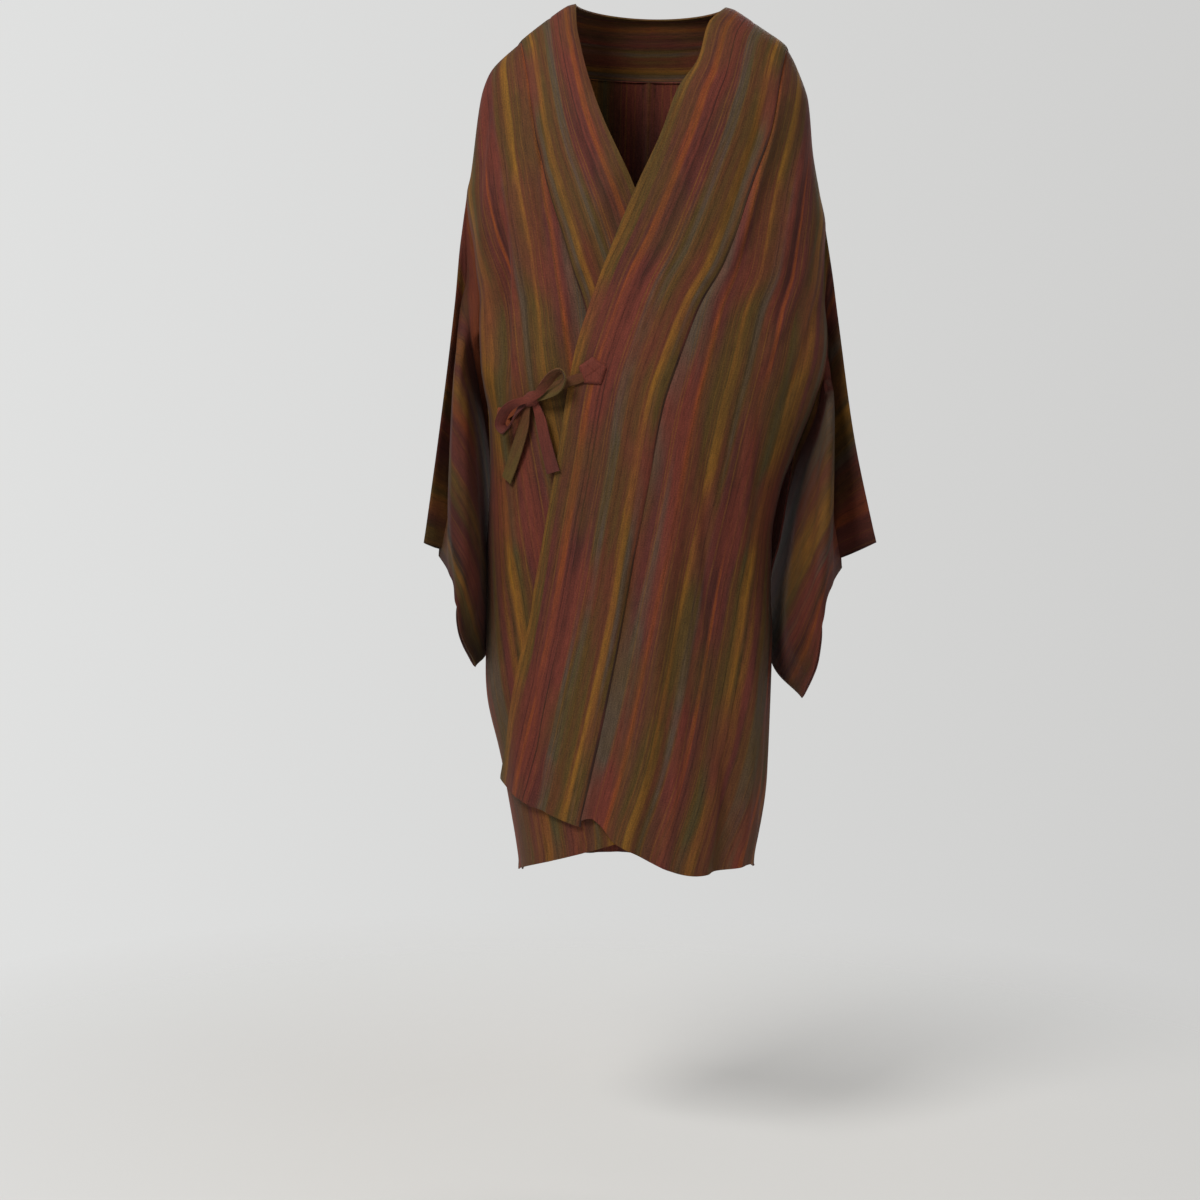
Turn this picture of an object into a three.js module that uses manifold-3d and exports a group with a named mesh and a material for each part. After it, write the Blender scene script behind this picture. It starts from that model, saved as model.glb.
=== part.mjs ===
// Kimono coat: a knee-length wrap coat of striped silk, worn left front over right and tied with
// narrow cloth ties at the wearer's right. +X is the wearer's left, -Y the front, +Z up, in mm.
// The origin is the middle of the neck at the level where the coat lies on the shoulders.
import * as THREE from 'three';
import { mergeVertices } from 'three/addons/utils/BufferGeometryUtils.js';
import Module from 'manifold-3d';

const wasm = await Module();
wasm.setup();

// ---------------------------------------------------------------- driving sizes
const WALL = 1.8;              // cloth of the body, collar and sleeves
const TIE_WALL = 1.4;          // tie strips, sewn flat from the same cloth
const KNOT_PAD = 3.4;          // folded pentagon at the root of each tie
const SEAM_GAP = 0.3;          // between sewn pieces
const UNDERLAP = 6.5;          // the right front lies this far inside the left one
const COLLAR_STEP = 1.6;       // the doubled collar stands above the shoulders by this
const SHOULDER_Z = -3;         // where the collar seam crosses the shoulder
const NECK_DIP = -35;          // collar seam at the middle of the back
const EDGE_TOP = { z: 42, back: 36 };   // finished collar edge beside and behind the neck
const SLEEVE_GAP = 3.6;        // half the space between a sleeve's two layers
const ROOT_GAP = 14;           // the same where the sleeve leaves the armhole
const CUFF_GAP = 15;           // the same in the open part of the cuff
const CUFF_OPEN = 0.5;         // share of the cuff left open below the top fold
const FRONT_COLUMNS = 14;
const BACK_COLUMNS = 9;
const COLLAR_COLUMNS = 5;
const SLEEVE_RINGS = 13;
// Sleeve columns from top fold to bottom seam, closer where the cloth bends. The first eight are sewn.
const SLEEVE_COLUMNS = [0, 0.09, 0.17, 0.23, 0.28, 0.35, 0.43, 0.5, 0.55, 0.62, 0.7, 0.78, 0.86, 0.93, 1];

// Half width of the worn coat by height; front and back part at the open side below the sleeve.
const LEFT_WIDTH = [
  { z: 46, front: 78, back: 78 }, { z: 42, front: 84, back: 84 }, { z: 20, front: 118, back: 118 },
  { z: -3, front: 151, back: 151 }, { z: -34, front: 168, back: 168 }, { z: -62, front: 178, back: 178 },
  { z: -119, front: 185, back: 185 }, { z: -164, front: 194, back: 194 },
  { z: -203, front: 202, back: 202 }, { z: -277, front: 200, back: 199 },
  { z: -340, front: 206, back: 197 }, { z: -400, front: 194, back: 190 },
  { z: -459, front: 174, back: 180 }, { z: -500, front: 160, back: 173 },
  { z: -560, front: 151, back: 162 }, { z: -605, front: 151, back: 152 },
  { z: -680, front: 155, back: 155 }, { z: -830, front: 154, back: 154 },
  { z: -887, front: 149, back: 149 }, { z: -935, front: 141, back: 141 },
];
const RIGHT_WIDTH = [
  { z: 46, front: 82, back: 82 }, { z: 42, front: 88, back: 88 }, { z: 20, front: 118, back: 118 },
  { z: -3, front: 146, back: 146 }, { z: -40, front: 182, back: 182 }, { z: -68, front: 191, back: 191 },
  { z: -153, front: 201, back: 201 }, { z: -175, front: 205, back: 205 },
  { z: -250, front: 192, back: 196 }, { z: -303, front: 183, back: 188 },
  { z: -362, front: 184, back: 182 }, { z: -424, front: 175, back: 176 },
  { z: -500, front: 173, back: 173 }, { z: -582, front: 173, back: 173 },
  { z: -718, front: 167, back: 167 }, { z: -808, front: 153, back: 153 },
  { z: -921, front: 131, back: 131 }, { z: -940, front: 127, back: 127 },
];
// Depth of the worn coat before and behind the shoulder line, a little fuller over the sash.
const DEPTH = [
  { z: 46, front: 20, back: 84 }, { z: 36, front: 32, back: 90 }, { z: 20, front: 43, back: 98 },
  { z: -3, front: 55, back: 110 }, { z: -35, front: 74, back: 122 }, { z: -70, front: 90, back: 127 },
  { z: -110, front: 100, back: 130 }, { z: -200, front: 111, back: 134 },
  { z: -300, front: 117, back: 143 }, { z: -400, front: 119, back: 146 },
  { z: -500, front: 116, back: 139 }, { z: -650, front: 113, back: 129 },
  { z: -800, front: 115, back: 125 }, { z: -945, front: 116, back: 122 },
];
// Each front from its collar seam to its finished edge, by height.
const LEFT_SEAM = [
  { z: -3, x: 151 }, { z: -96, x: 131 }, { z: -159, x: 112 }, { z: -245, x: 85 }, { z: -293, x: 59 },
  { z: -351, x: 38 }, { z: -406, x: 21 }, { z: -503, x: 5 }, { z: -575, x: -7 }, { z: -733, x: -33 },
  { z: -877, x: -60 },
];
const LEFT_EDGE = [
  { z: 42, x: 84 }, { z: 21, x: 63 }, { z: -19, x: 52 }, { z: -55, x: 29 }, { z: -106, x: 11 },
  { z: -168, x: -16 }, { z: -277, x: -57 }, { z: -354, x: -79 }, { z: -475, x: -96 }, { z: -627, x: -120 },
  { z: -838, x: -153 },
];
const RIGHT_SEAM = [
  { z: -3, x: -146 }, { z: -49, x: -136 }, { z: -119, x: -125 }, { z: -177, x: -109 }, { z: -218, x: -95 },
  { z: -307, x: -68 }, { z: -430, x: -36 }, { z: -575, x: -8 }, { z: -733, x: 18 }, { z: -868, x: 42 },
];
const RIGHT_EDGE = [
  { z: 42, x: -88 }, { z: 17, x: -86 }, { z: -10, x: -80 }, { z: -36, x: -73 }, { z: -87, x: -54 },
  { z: -139, x: -29 }, { z: -200, x: -2 }, { z: -277, x: 25 }, { z: -354, x: 46 }, { z: -475, x: 72 },
  { z: -627, x: 98 }, { z: -836, x: 125 },
];
// Creases of the worn cloth: where each runs, its half width and its rise (a fall is negative).
const FRONT_CREASES = [
  { name: 'pleat beside the collar', top: [36, -430], middle: [24, -640], bottom: [-20, -935], half: 26, rise: 9 },
  { name: 'side ridge', top: [134, -520], middle: [138, -690], bottom: [126, -935], half: 24, rise: 5 },
  { name: 'fall before the side', top: [78, -410], middle: [92, -640], bottom: [96, -935], half: 30, rise: -3 },
  { name: 'shoulder drag', top: [150, -40], middle: [124, -140], bottom: [84, -275], half: 16, rise: 3 },
  { name: 'chest bulge at the sleeve', top: [196, -215], middle: [194, -320], bottom: [176, -440], half: 34, rise: 3 },
  { name: 'right side hollow', top: [-158, -190], middle: [-160, -310], bottom: [-160, -430], half: 15, rise: -6 },
  { name: 'right side fold', top: [-178, -90], middle: [-184, -250], bottom: [-176, -420], half: 14, rise: 4 },
  { name: 'right hanging fold', top: [-150, -470], middle: [-140, -660], bottom: [-116, -935], half: 24, rise: 4 },
];
const BACK_CREASES = [
  { name: 'left blade fold', top: [120, -120], middle: [126, -230], bottom: [112, -340], half: 26, rise: 4 },
  { name: 'right blade fold', top: [-118, -110], middle: [-128, -220], bottom: [-110, -330], half: 26, rise: 4 },
  { name: 'left hanging fold', top: [70, -460], middle: [78, -700], bottom: [84, -945], half: 34, rise: 6 },
  { name: 'right hanging fold', top: [-58, -450], middle: [-74, -690], bottom: [-78, -945], half: 34, rise: 6 },
  { name: 'left side hollow', top: [112, -500], middle: [118, -700], bottom: [120, -945], half: 22, rise: -4 },
];
// Where each sleeve is sewn on, the side left open below it, and how far the opening stands
// before and behind the shoulder line.
const LEFT_ARMHOLE = { top: -203, end: -400, vent: -605, before: 8, behind: 44 };
const RIGHT_ARMHOLE = { top: -175, end: -330, vent: -424, before: 8, behind: 40 };
// A hanging sleeve from armhole to cuff: top fold, the bend behind, the ridge in front, the turn
// inside it and the bottom seam.
const LEFT_SLEEVE = [
  { at: 0, fold: [202, 0, -203], behind: [200, 18, -290], ridge: [194, 18, -400], inner: [177, 56, -465],
    seam: [162, 100, -530] },
  { at: 0.15, fold: [212, 0, -256], behind: [206, 15, -318], ridge: [206, 6, -405], inner: [187, 44, -475],
    seam: [170, 92, -562] },
  { at: 0.33, fold: [220, 0, -305], behind: [208, 20, -350], ridge: [211, -28, -412], inner: [190, -8, -490],
    seam: [158, 84, -614] },
  { at: 0.67, fold: [243, 0, -440], behind: [217, 26, -484], ridge: [209, -66, -545], inner: [181, -52, -630],
    seam: [157, 34, -702] },
  { at: 1, fold: [272, 0, -560], behind: [224, 28, -590], ridge: [210, -64, -616], inner: [203, -76, -688],
    seam: [190, -36, -737] },
];
const RIGHT_SLEEVE = [
  { at: 0, fold: [-205, 0, -175], behind: [-201, 16, -250], ridge: [-190, 16, -330], inner: [-177, 56, -430],
    seam: [-165, 98, -515] },
  { at: 0.15, fold: [-211, 0, -226], behind: [-205, 14, -284], ridge: [-204, 4, -342], inner: [-187, 42, -440],
    seam: [-171, 90, -545] },
  { at: 0.33, fold: [-217, 0, -300], behind: [-207, 24, -340], ridge: [-210, -30, -380], inner: [-190, -12, -455],
    seam: [-168, 76, -608] },
  { at: 0.67, fold: [-232, 0, -440], behind: [-213, 26, -472], ridge: [-211, -66, -530], inner: [-185, -54, -605],
    seam: [-172, 26, -692] },
  { at: 1, fold: [-248, 0, -572], behind: [-219, 28, -588], ridge: [-208, -64, -608], inner: [-202, -76, -664],
    seam: [-185, -40, -709] },
];

// The bow, placed on the front as seen from before, with each strip's height off the cloth, how far
// it is turned on edge and its width where it is drawn into the knot or lies open.
const KNOT = { x: -125, z: -400, high: 10, long: 21, wide: 17, deep: 15, turn: 0.5 };
const PENTAGONS = {
  left: { x: -58, z: -368, radius: 15.5, turn: 0.3, clear: 0.1 },
  right: { x: -158, z: -426, radius: 15.5, turn: 0.9, clear: 0.1 },
};
const STRAP_LEFT = [
  { x: -68, z: -374, high: 4, turn: 0, wide: 10 }, { x: -79, z: -378, high: 4, turn: 0, wide: 11 },
  { x: -91, z: -382, high: 4.5, turn: 0, wide: 10 }, { x: -104, z: -388, high: 5, turn: 0, wide: 9 },
  { x: -125, z: -399, high: 5.5, turn: 0, wide: 8 },
];
const STRAP_RIGHT = [
  { x: -156, z: -423, high: 4, turn: 0, wide: 9 }, { x: -147, z: -416, high: 4.5, turn: 0, wide: 9 },
  { x: -138, z: -409, high: 5, turn: 0, wide: 8 }, { x: -125, z: -401, high: 5.5, turn: 0, wide: 8 },
];
const LOOP_UPPER = [
  { x: -125, z: -400, high: 15, turn: 0, wide: 7 }, { x: -113, z: -391, high: 17, turn: 20, wide: 8 },
  { x: -101, z: -379, high: 20, turn: 50, wide: 11 }, { x: -91, z: -371, high: 21, turn: 60, wide: 12 },
  { x: -84, z: -371, high: 19, turn: 62, wide: 12 }, { x: -86, z: -381, high: 17, turn: 60, wide: 12 },
  { x: -97, z: -390, high: 14.5, turn: 45, wide: 10 }, { x: -110, z: -396, high: 12, turn: 15, wide: 8 },
  { x: -125, z: -401, high: 11, turn: 0, wide: 7 },
];
const LOOP_LOWER = [
  { x: -125, z: -400, high: 15, turn: 0, wide: 7 }, { x: -137, z: -403, high: 17, turn: -20, wide: 8 },
  { x: -149, z: -409, high: 19, turn: -50, wide: 11 }, { x: -157, z: -419, high: 19, turn: -60, wide: 12 },
  { x: -160, z: -431, high: 18, turn: -62, wide: 12 }, { x: -154, z: -437, high: 16, turn: -60, wide: 12 },
  { x: -148, z: -429, high: 14.5, turn: -55, wide: 11 }, { x: -142, z: -417, high: 13, turn: -40, wide: 9 },
  { x: -135, z: -408, high: 11.5, turn: -10, wide: 7 }, { x: -125, z: -401, high: 11, turn: 0, wide: 7 },
];
const TAIL_RIGHT = [
  { x: -123, z: -401, high: 8, turn: 0, wide: 7 }, { x: -118, z: -412, high: 8, turn: 0, wide: 10 },
  { x: -114, z: -424, high: 7, turn: 0, wide: 13 }, { x: -109, z: -445, high: 6, turn: 0, wide: 14 },
  { x: -104, z: -464, high: 5, turn: 0, wide: 15 }, { x: -99, z: -481, high: 5, turn: 0, wide: 16 },
];
const TAIL_LEFT = [
  { x: -128, z: -402, high: 8, turn: 0, wide: 7 }, { x: -130, z: -413, high: 9, turn: 0, wide: 9 },
  { x: -133, z: -430, high: 8, turn: 0, wide: 14 }, { x: -139, z: -452, high: 7, turn: 0, wide: 16 },
  { x: -146, z: -475, high: 5, turn: 0, wide: 17 }, { x: -152, z: -493, high: 5, turn: 0, wide: 17 },
];

// ---------------------------------------------------------------- small mathematics
const lerp = (a, b, t) => a + (b - a) * t;
const clamp = (v, lo, hi) => Math.min(hi, Math.max(lo, v));
const smooth = (t) => { const c = clamp(t, 0, 1); return c * c * (3 - 2 * c); };
const bell = (d) => (Math.abs(d) >= 1 ? 0 : (1 + Math.cos(Math.PI * d)) / 2);

// A monotone smooth curve through one named column of a table.
function curve(table, key, by = 'z') {
  const rows = table.map((row) => [row[by], row[key]]).sort((a, b) => a[0] - b[0]);
  const last = rows.length - 1;
  const slopes = rows.slice(1).map((row, i) => (row[1] - rows[i][1]) / (row[0] - rows[i][0]));
  const tangent = (i) => {
    if (i === 0 || i === last) return slopes[Math.min(i, last - 1)];
    const [a, b] = [slopes[i - 1], slopes[i]];
    return a * b <= 0 ? 0 : (2 * a * b) / (a + b);
  };
  return (value) => {
    const v = clamp(value, rows[0][0], rows[last][0]);
    let i = 0;
    while (i < last - 1 && v > rows[i + 1][0]) i += 1;
    const h = rows[i + 1][0] - rows[i][0];
    const t = (v - rows[i][0]) / h;
    return (1 + 2 * t) * (1 - t) ** 2 * rows[i][1] + t * (1 - t) ** 2 * h * tangent(i)
      + t * t * (3 - 2 * t) * rows[i + 1][1] + t * t * (t - 1) * h * tangent(i + 1);
  };
}

// A smooth path through a few points, as a function of 0..1 with its own knots.
function through(points, knots) {
  const axes = [0, 1, 2].map((axis) => spline(points.map((p) => p[axis]), knots));
  return (t) => new THREE.Vector3(axes[0](t), axes[1](t), axes[2](t));
}
function spline(values, knots) {
  const last = values.length - 1;
  const slope = (i) => {
    const [a, b] = [Math.max(i - 1, 0), Math.min(i + 1, last)];
    return (values[b] - values[a]) / (knots[b] - knots[a]);
  };
  return (value) => {
    const v = clamp(value, knots[0], knots[last]);
    let i = 0;
    while (i < last - 1 && v > knots[i + 1]) i += 1;
    const h = knots[i + 1] - knots[i];
    const t = (v - knots[i]) / h;
    return (1 + 2 * t) * (1 - t) ** 2 * values[i] + t * (1 - t) ** 2 * h * slope(i)
      + t * t * (3 - 2 * t) * values[i + 1] + t * t * (t - 1) * h * slope(i + 1);
  };
}

// ---------------------------------------------------------------- the worn form
const WIDTH = {
  left: { front: curve(LEFT_WIDTH, 'front'), back: curve(LEFT_WIDTH, 'back') },
  right: { front: curve(RIGHT_WIDTH, 'front'), back: curve(RIGHT_WIDTH, 'back') },
};
const DEEP = { front: curve(DEPTH, 'front'), back: curve(DEPTH, 'back') };
const SIDES = {
  left: { sign: 1, seam: curve(LEFT_SEAM, 'x'), edge: curve(LEFT_EDGE, 'x'), armhole: LEFT_ARMHOLE,
    sleeve: LEFT_SLEEVE, seamHem: -880, edgeHem: -841, hem: -942 },
  right: { sign: -1, seam: curve(RIGHT_SEAM, 'x'), edge: curve(RIGHT_EDGE, 'x'), armhole: RIGHT_ARMHOLE,
    sleeve: RIGHT_SLEEVE, seamHem: -876, edgeHem: -842, hem: -952 },
};
const widthAt = (face, x, z) => WIDTH[x >= 0 ? 'left' : 'right'][face](z);
const angleOf = (face, x, z) => Math.asin(clamp(x / widthAt(face, x, z), -1, 1));

// How far the creases lift the cloth at one place.
function creaseLift(creases, x, z) {
  return creases.reduce((sum, crease) => {
    const t = (z - crease.top[1]) / (crease.bottom[1] - crease.top[1]);
    if (t <= 0 || t > 1.02) return sum;
    const middle = (crease.middle[1] - crease.top[1]) / (crease.bottom[1] - crease.top[1]);
    const bend = (crease.middle[0] - lerp(crease.top[0], crease.bottom[0], middle)) / (middle * (1 - middle));
    const line = lerp(crease.top[0], crease.bottom[0], t) + bend * t * (1 - t);
    const runsOut = crease.bottom[1] < -900 ? 1 : smooth((1 - t) / 0.35);
    return sum + crease.rise * smooth(t / 0.35) * runsOut * bell((x - line) / crease.half);
  }, 0);
}

// A place on the worn form: the angle from the middle, the height and a lift off the form.
function formPoint(face, angle, z, lift = 0) {
  const width = widthAt(face, angle, z);
  const x = width * Math.sin(angle);
  const out = face === 'front' ? -1 : 1;
  const creases = face === 'front' ? FRONT_CREASES : BACK_CREASES;
  const rise = lift + (lift < -1 ? 0 : creaseLift(creases, x, z));
  return new THREE.Vector3((width + rise) * Math.sin(angle), out * (DEEP[face](z) + rise) * Math.cos(angle), z);
}

// The right front goes under the left one, easing in just before the left edge.
function underlap(side, x, z) {
  if (side !== 'right') return 0;
  const edge = SIDES.left.edge(clamp(z, -838, 42));
  const fade = smooth((x - edge + 34) / 30) * smooth((z > -100 ? (-100 - z) / 60 + 1 : 1));
  return -UNDERLAP * fade;
}

// ---------------------------------------------------------------- cloth sheets and walls
// A sheet is points with triangles between them, its outer side facing out of the coat.
class Sheet {
  constructor() { this.points = []; this.faces = []; this.pins = new Map(); }

  add(point) { this.points.push(point.clone()); return this.points.length - 1; }

  quad(a, b, c, d, turned) {
    const faces = [[a, b, c], [a, c, d]].filter((f) => new Set(f).size === 3);
    faces.forEach((f) => this.faces.push(turned ? [f[0], f[2], f[1]] : f));
  }

  normals() {
    const sums = this.points.map(() => new THREE.Vector3());
    const each = this.faces.map(([a, b, c]) => {
      const ab = this.points[b].clone().sub(this.points[a]);
      return ab.cross(this.points[c].clone().sub(this.points[a]));
    });
    this.faces.forEach((face, i) => face.forEach((v) => sums[v].add(each[i])));
    sums.forEach((sum) => sum.normalize());
    return { sums, each: each.map((n) => n.clone().normalize()) };
  }

  // The sheet moved out and in by half the wall's thickness.
  skins(thickness) {
    const { sums, each } = this.normals();
    const fit = this.points.map(() => [0, 0]);
    this.faces.forEach((face, i) => face.forEach((v) => {
      fit[v][0] += Math.max(0.3, each[i].dot(sums[v])); fit[v][1] += 1;
    }));
    const offsets = sums.map((n, v) => this.pins.get(v)?.clone().multiplyScalar(thickness / 2)
      ?? n.clone().multiplyScalar((thickness / 2) * clamp(fit[v][1] / fit[v][0], 1, 2.2)));
    const outer = this.points.map((p, i) => p.clone().add(offsets[i]));
    const inner = this.points.map((p, i) => p.clone().sub(offsets[i]));
    return [...outer, ...inner].flatMap((p) => [p.x, p.y, p.z]);
  }

  // The closed wall, joined round its borders.
  wall(thickness) {
    const count = this.points.length;
    const index = [];
    const edges = new Map();
    this.faces.forEach(([a, b, c]) => {
      index.push(a, b, c, a + count, c + count, b + count);
      [[a, b], [b, c], [c, a]].forEach(([m, n]) => edges.set(`${m}_${n}`, [m, n]));
    });
    edges.forEach(([m, n]) => {
      if (edges.has(`${n}_${m}`)) return;
      const falls = this.points[m].z - this.points[n].z + (this.points[m].x - this.points[n].x) * 1e-3 > 0;
      if (falls) index.push(m, m + count, n + count, m, n + count, n);
      else index.push(m, m + count, n, n, m + count, n + count);
    });
    const geometry = new THREE.BufferGeometry();
    geometry.setAttribute('position', new THREE.Float32BufferAttribute(this.skins(thickness), 3));
    geometry.setIndex(index);
    return geometry;
  }

  // The same wall for cloth whose folds touch each other: one small prism for each face, all fused.
  fusedWall(thickness) {
    const place = this.skins(thickness);
    const corner = (id) => place.slice(3 * id, 3 * id + 3);
    const prisms = this.faces.map((face) => wasm.Manifold.hull(
      [...face, ...face.map((v) => v + this.points.length)].map(corner)));
    const parts = wasm.Manifold.union(prisms).decompose().filter((part) => part.volume() > 0);
    return geometryOf(parts.sort((a, b) => b.volume() - a.volume())[0]);
  }
}

// Sews the start of one sheet along the border of another: one shared wall direction, and the
// second sheet drawn back by the seam gap.
function sew(cloth, border, added, start, next) {
  const a = cloth.normals().sums;
  const b = added.normals().sums;
  const line = border.map((id) => cloth.points[id]);
  border.forEach((id, i) => {
    const shared = a[id].clone().add(b[start[i]]);
    if (Math.abs(cloth.points[id].x) < SEAM_GAP) shared.x = 0;
    shared.normalize();
    const [before, after] = [line[Math.max(i - 1, 0)], line[Math.min(i + 1, line.length - 1)]];
    const run = after.clone().sub(before).normalize();
    const [to, from] = [line[i].clone().sub(before).normalize(), after.clone().sub(line[i]).normalize()];
    const inLine = i > 0 && i < line.length - 1 ? Math.sqrt(Math.max(0.09, (1 + to.dot(from)) / 2)) : 1;
    const away = added.points[next[i]].clone().sub(line[i]);
    if (Math.abs(cloth.points[id].x) < SEAM_GAP) away.x = 0;
    away.addScaledVector(run, -away.dot(run)).addScaledVector(shared, -away.dot(shared)).normalize();
    added.points[start[i]].addScaledVector(away, (SEAM_GAP * 1.12) / inLine);
    cloth.pins.set(id, shared);
    added.pins.set(start[i], shared);
  });
}

// ---------------------------------------------------------------- body panels
const neckAngle = (t) => (Math.PI / 2) * (1 - t);
const neckHeight = (t) => lerp(SHOULDER_Z, NECK_DIP, smooth(Math.sqrt(t)));

function bodyRows(armhole, hem) {
  const marks = [
    [-7, -60, 5], [-60, armhole.top, 5], [armhole.top, armhole.end, 7],
    [armhole.end, armhole.vent, 5], [armhole.vent, hem, 10],
  ];
  const rows = marks.flatMap(([from, to, steps]) => Array.from({ length: steps }, (_, i) => lerp(from, to, i / steps)));
  return [...rows, hem];
}

// How far below the straight line from seam to side a front's hem hangs.
function hemDrop(side, share) {
  if (side === 'right') return -6 * Math.sin(Math.PI * share);
  return -26 * bell((share - 0.42) / 0.42) + 14 * bell((share - 0.05) / 0.1);
}

function bodySheet(side) {
  const spec = SIDES[side];
  const { armhole } = spec;
  const sheet = new Sheet();
  const heights = bodyRows(armhole, spec.hem);
  const border = { front: [], back: [], armFront: [], armBack: [], below: [], middle: [] };
  const ids = { front: [], back: [] };
  const neckRows = 5;
  heights.forEach((zSide, row) => {
    const along = (SHOULDER_Z - zSide) / (SHOULDER_Z - spec.hem);
    const slit = zSide < armhole.top - 1 && zSide > armhole.vent + 1;
    const open = slit ? openness(armhole, zSide) : 0;
    const zSeam = lerp(SHOULDER_Z, spec.seamHem, along);
    const drop = smooth((along - 0.86) / 0.14);
    const frontIn = angleOf('front', spec.seam(zSeam), zSeam);
    const frontOut = spec.sign * Math.acos((open * armhole.before) / DEEP.front(zSide));
    const front = [];
    for (let i = 0; i <= FRONT_COLUMNS; i += 1) {
      const share = (i / FRONT_COLUMNS) ** 1.12;
      const angle = lerp(frontIn, frontOut, share);
      const z = lerp(zSeam, zSide, share) + drop * hemDrop(side, share);
      const x = widthAt('front', angle, z) * Math.sin(angle);
      front.push(sheet.add(formPoint('front', angle, z, underlap(side, x, z))));
    }
    const neckShare = clamp(row / neckRows, 0, 1);
    const t = row < neckRows ? (row + 0.6) / (neckRows + 0.6) : 1;
    const fall = clamp((heights[neckRows] - zSide) / (heights[neckRows] - spec.hem), 0, 1);
    const backIn = neckShare < 1 ? spec.sign * neckAngle(t) : 0;
    const zIn = neckShare < 1 ? neckHeight(t) : lerp(NECK_DIP, spec.hem - 8, fall);
    const backOut = spec.sign * Math.acos((open * armhole.behind) / DEEP.back(zSide));
    const back = [];
    for (let i = 0; i <= BACK_COLUMNS; i += 1) {
      const share = i / BACK_COLUMNS;
      const point = formPoint('back', lerp(backIn, backOut, share), lerp(zIn, zSide, share));
      if (i === 0 && neckShare === 1) point.x = spec.sign * SEAM_GAP / 2;
      if (i === BACK_COLUMNS && !slit) back.push(front[FRONT_COLUMNS]);
      else back.push(sheet.add(point));
    }
    ids.front.push(front);
    ids.back.push(back);
    border.front.push(front[0]);
    if (row <= neckRows) border.back.push(back[0]);
    if (row >= neckRows) border.middle.push(back[0]);
    const sewn = zSide <= armhole.top + 0.5 && zSide >= armhole.end - 0.5;
    if (sewn) { border.armFront.push(front[FRONT_COLUMNS]); border.armBack.push(back[BACK_COLUMNS]); }
    else if (slit && !border.below.length) border.below.push(back[BACK_COLUMNS], front[FRONT_COLUMNS]);
  });
  const leftHand = side === 'left';
  for (let r = 0; r + 1 < heights.length; r += 1) {
    for (let i = 0; i < FRONT_COLUMNS; i += 1) {
      const [a, b] = [ids.front[r], ids.front[r + 1]];
      sheet.quad(a[i], b[i], b[i + 1], a[i + 1], !leftHand);
    }
    for (let i = 0; i < BACK_COLUMNS; i += 1) {
      const [a, b] = [ids.back[r], ids.back[r + 1]];
      sheet.quad(a[i], a[i + 1], b[i + 1], b[i], !leftHand);
    }
  }
  // The shoulder end: the first row closes on the point where the collar seam crosses.
  const crest = sheet.add(formPoint('front', spec.sign * Math.PI / 2, SHOULDER_Z, 0));
  const top = [...ids.front[0], ...ids.back[0].slice(0, -1).reverse()];
  for (let i = 0; i + 1 < top.length; i += 1) sheet.quad(crest, top[i], top[i + 1], top[i + 1], !leftHand);
  border.crest = crest;
  return { sheet, border, heights };
}

// How wide the side stands open: widest in the armhole, narrower down the vent below it.
function openness(armhole, z) {
  if (z > armhole.end) {
    const t = (armhole.top - z) / (armhole.top - armhole.end);
    return lerp(0, 1, smooth(t / 0.45)) * lerp(1, 0.5, smooth((t - 0.55) / 0.45));
  }
  return 0.5 * smooth((z - armhole.vent) / (armhole.end - armhole.vent) / 0.6);
}

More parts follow.
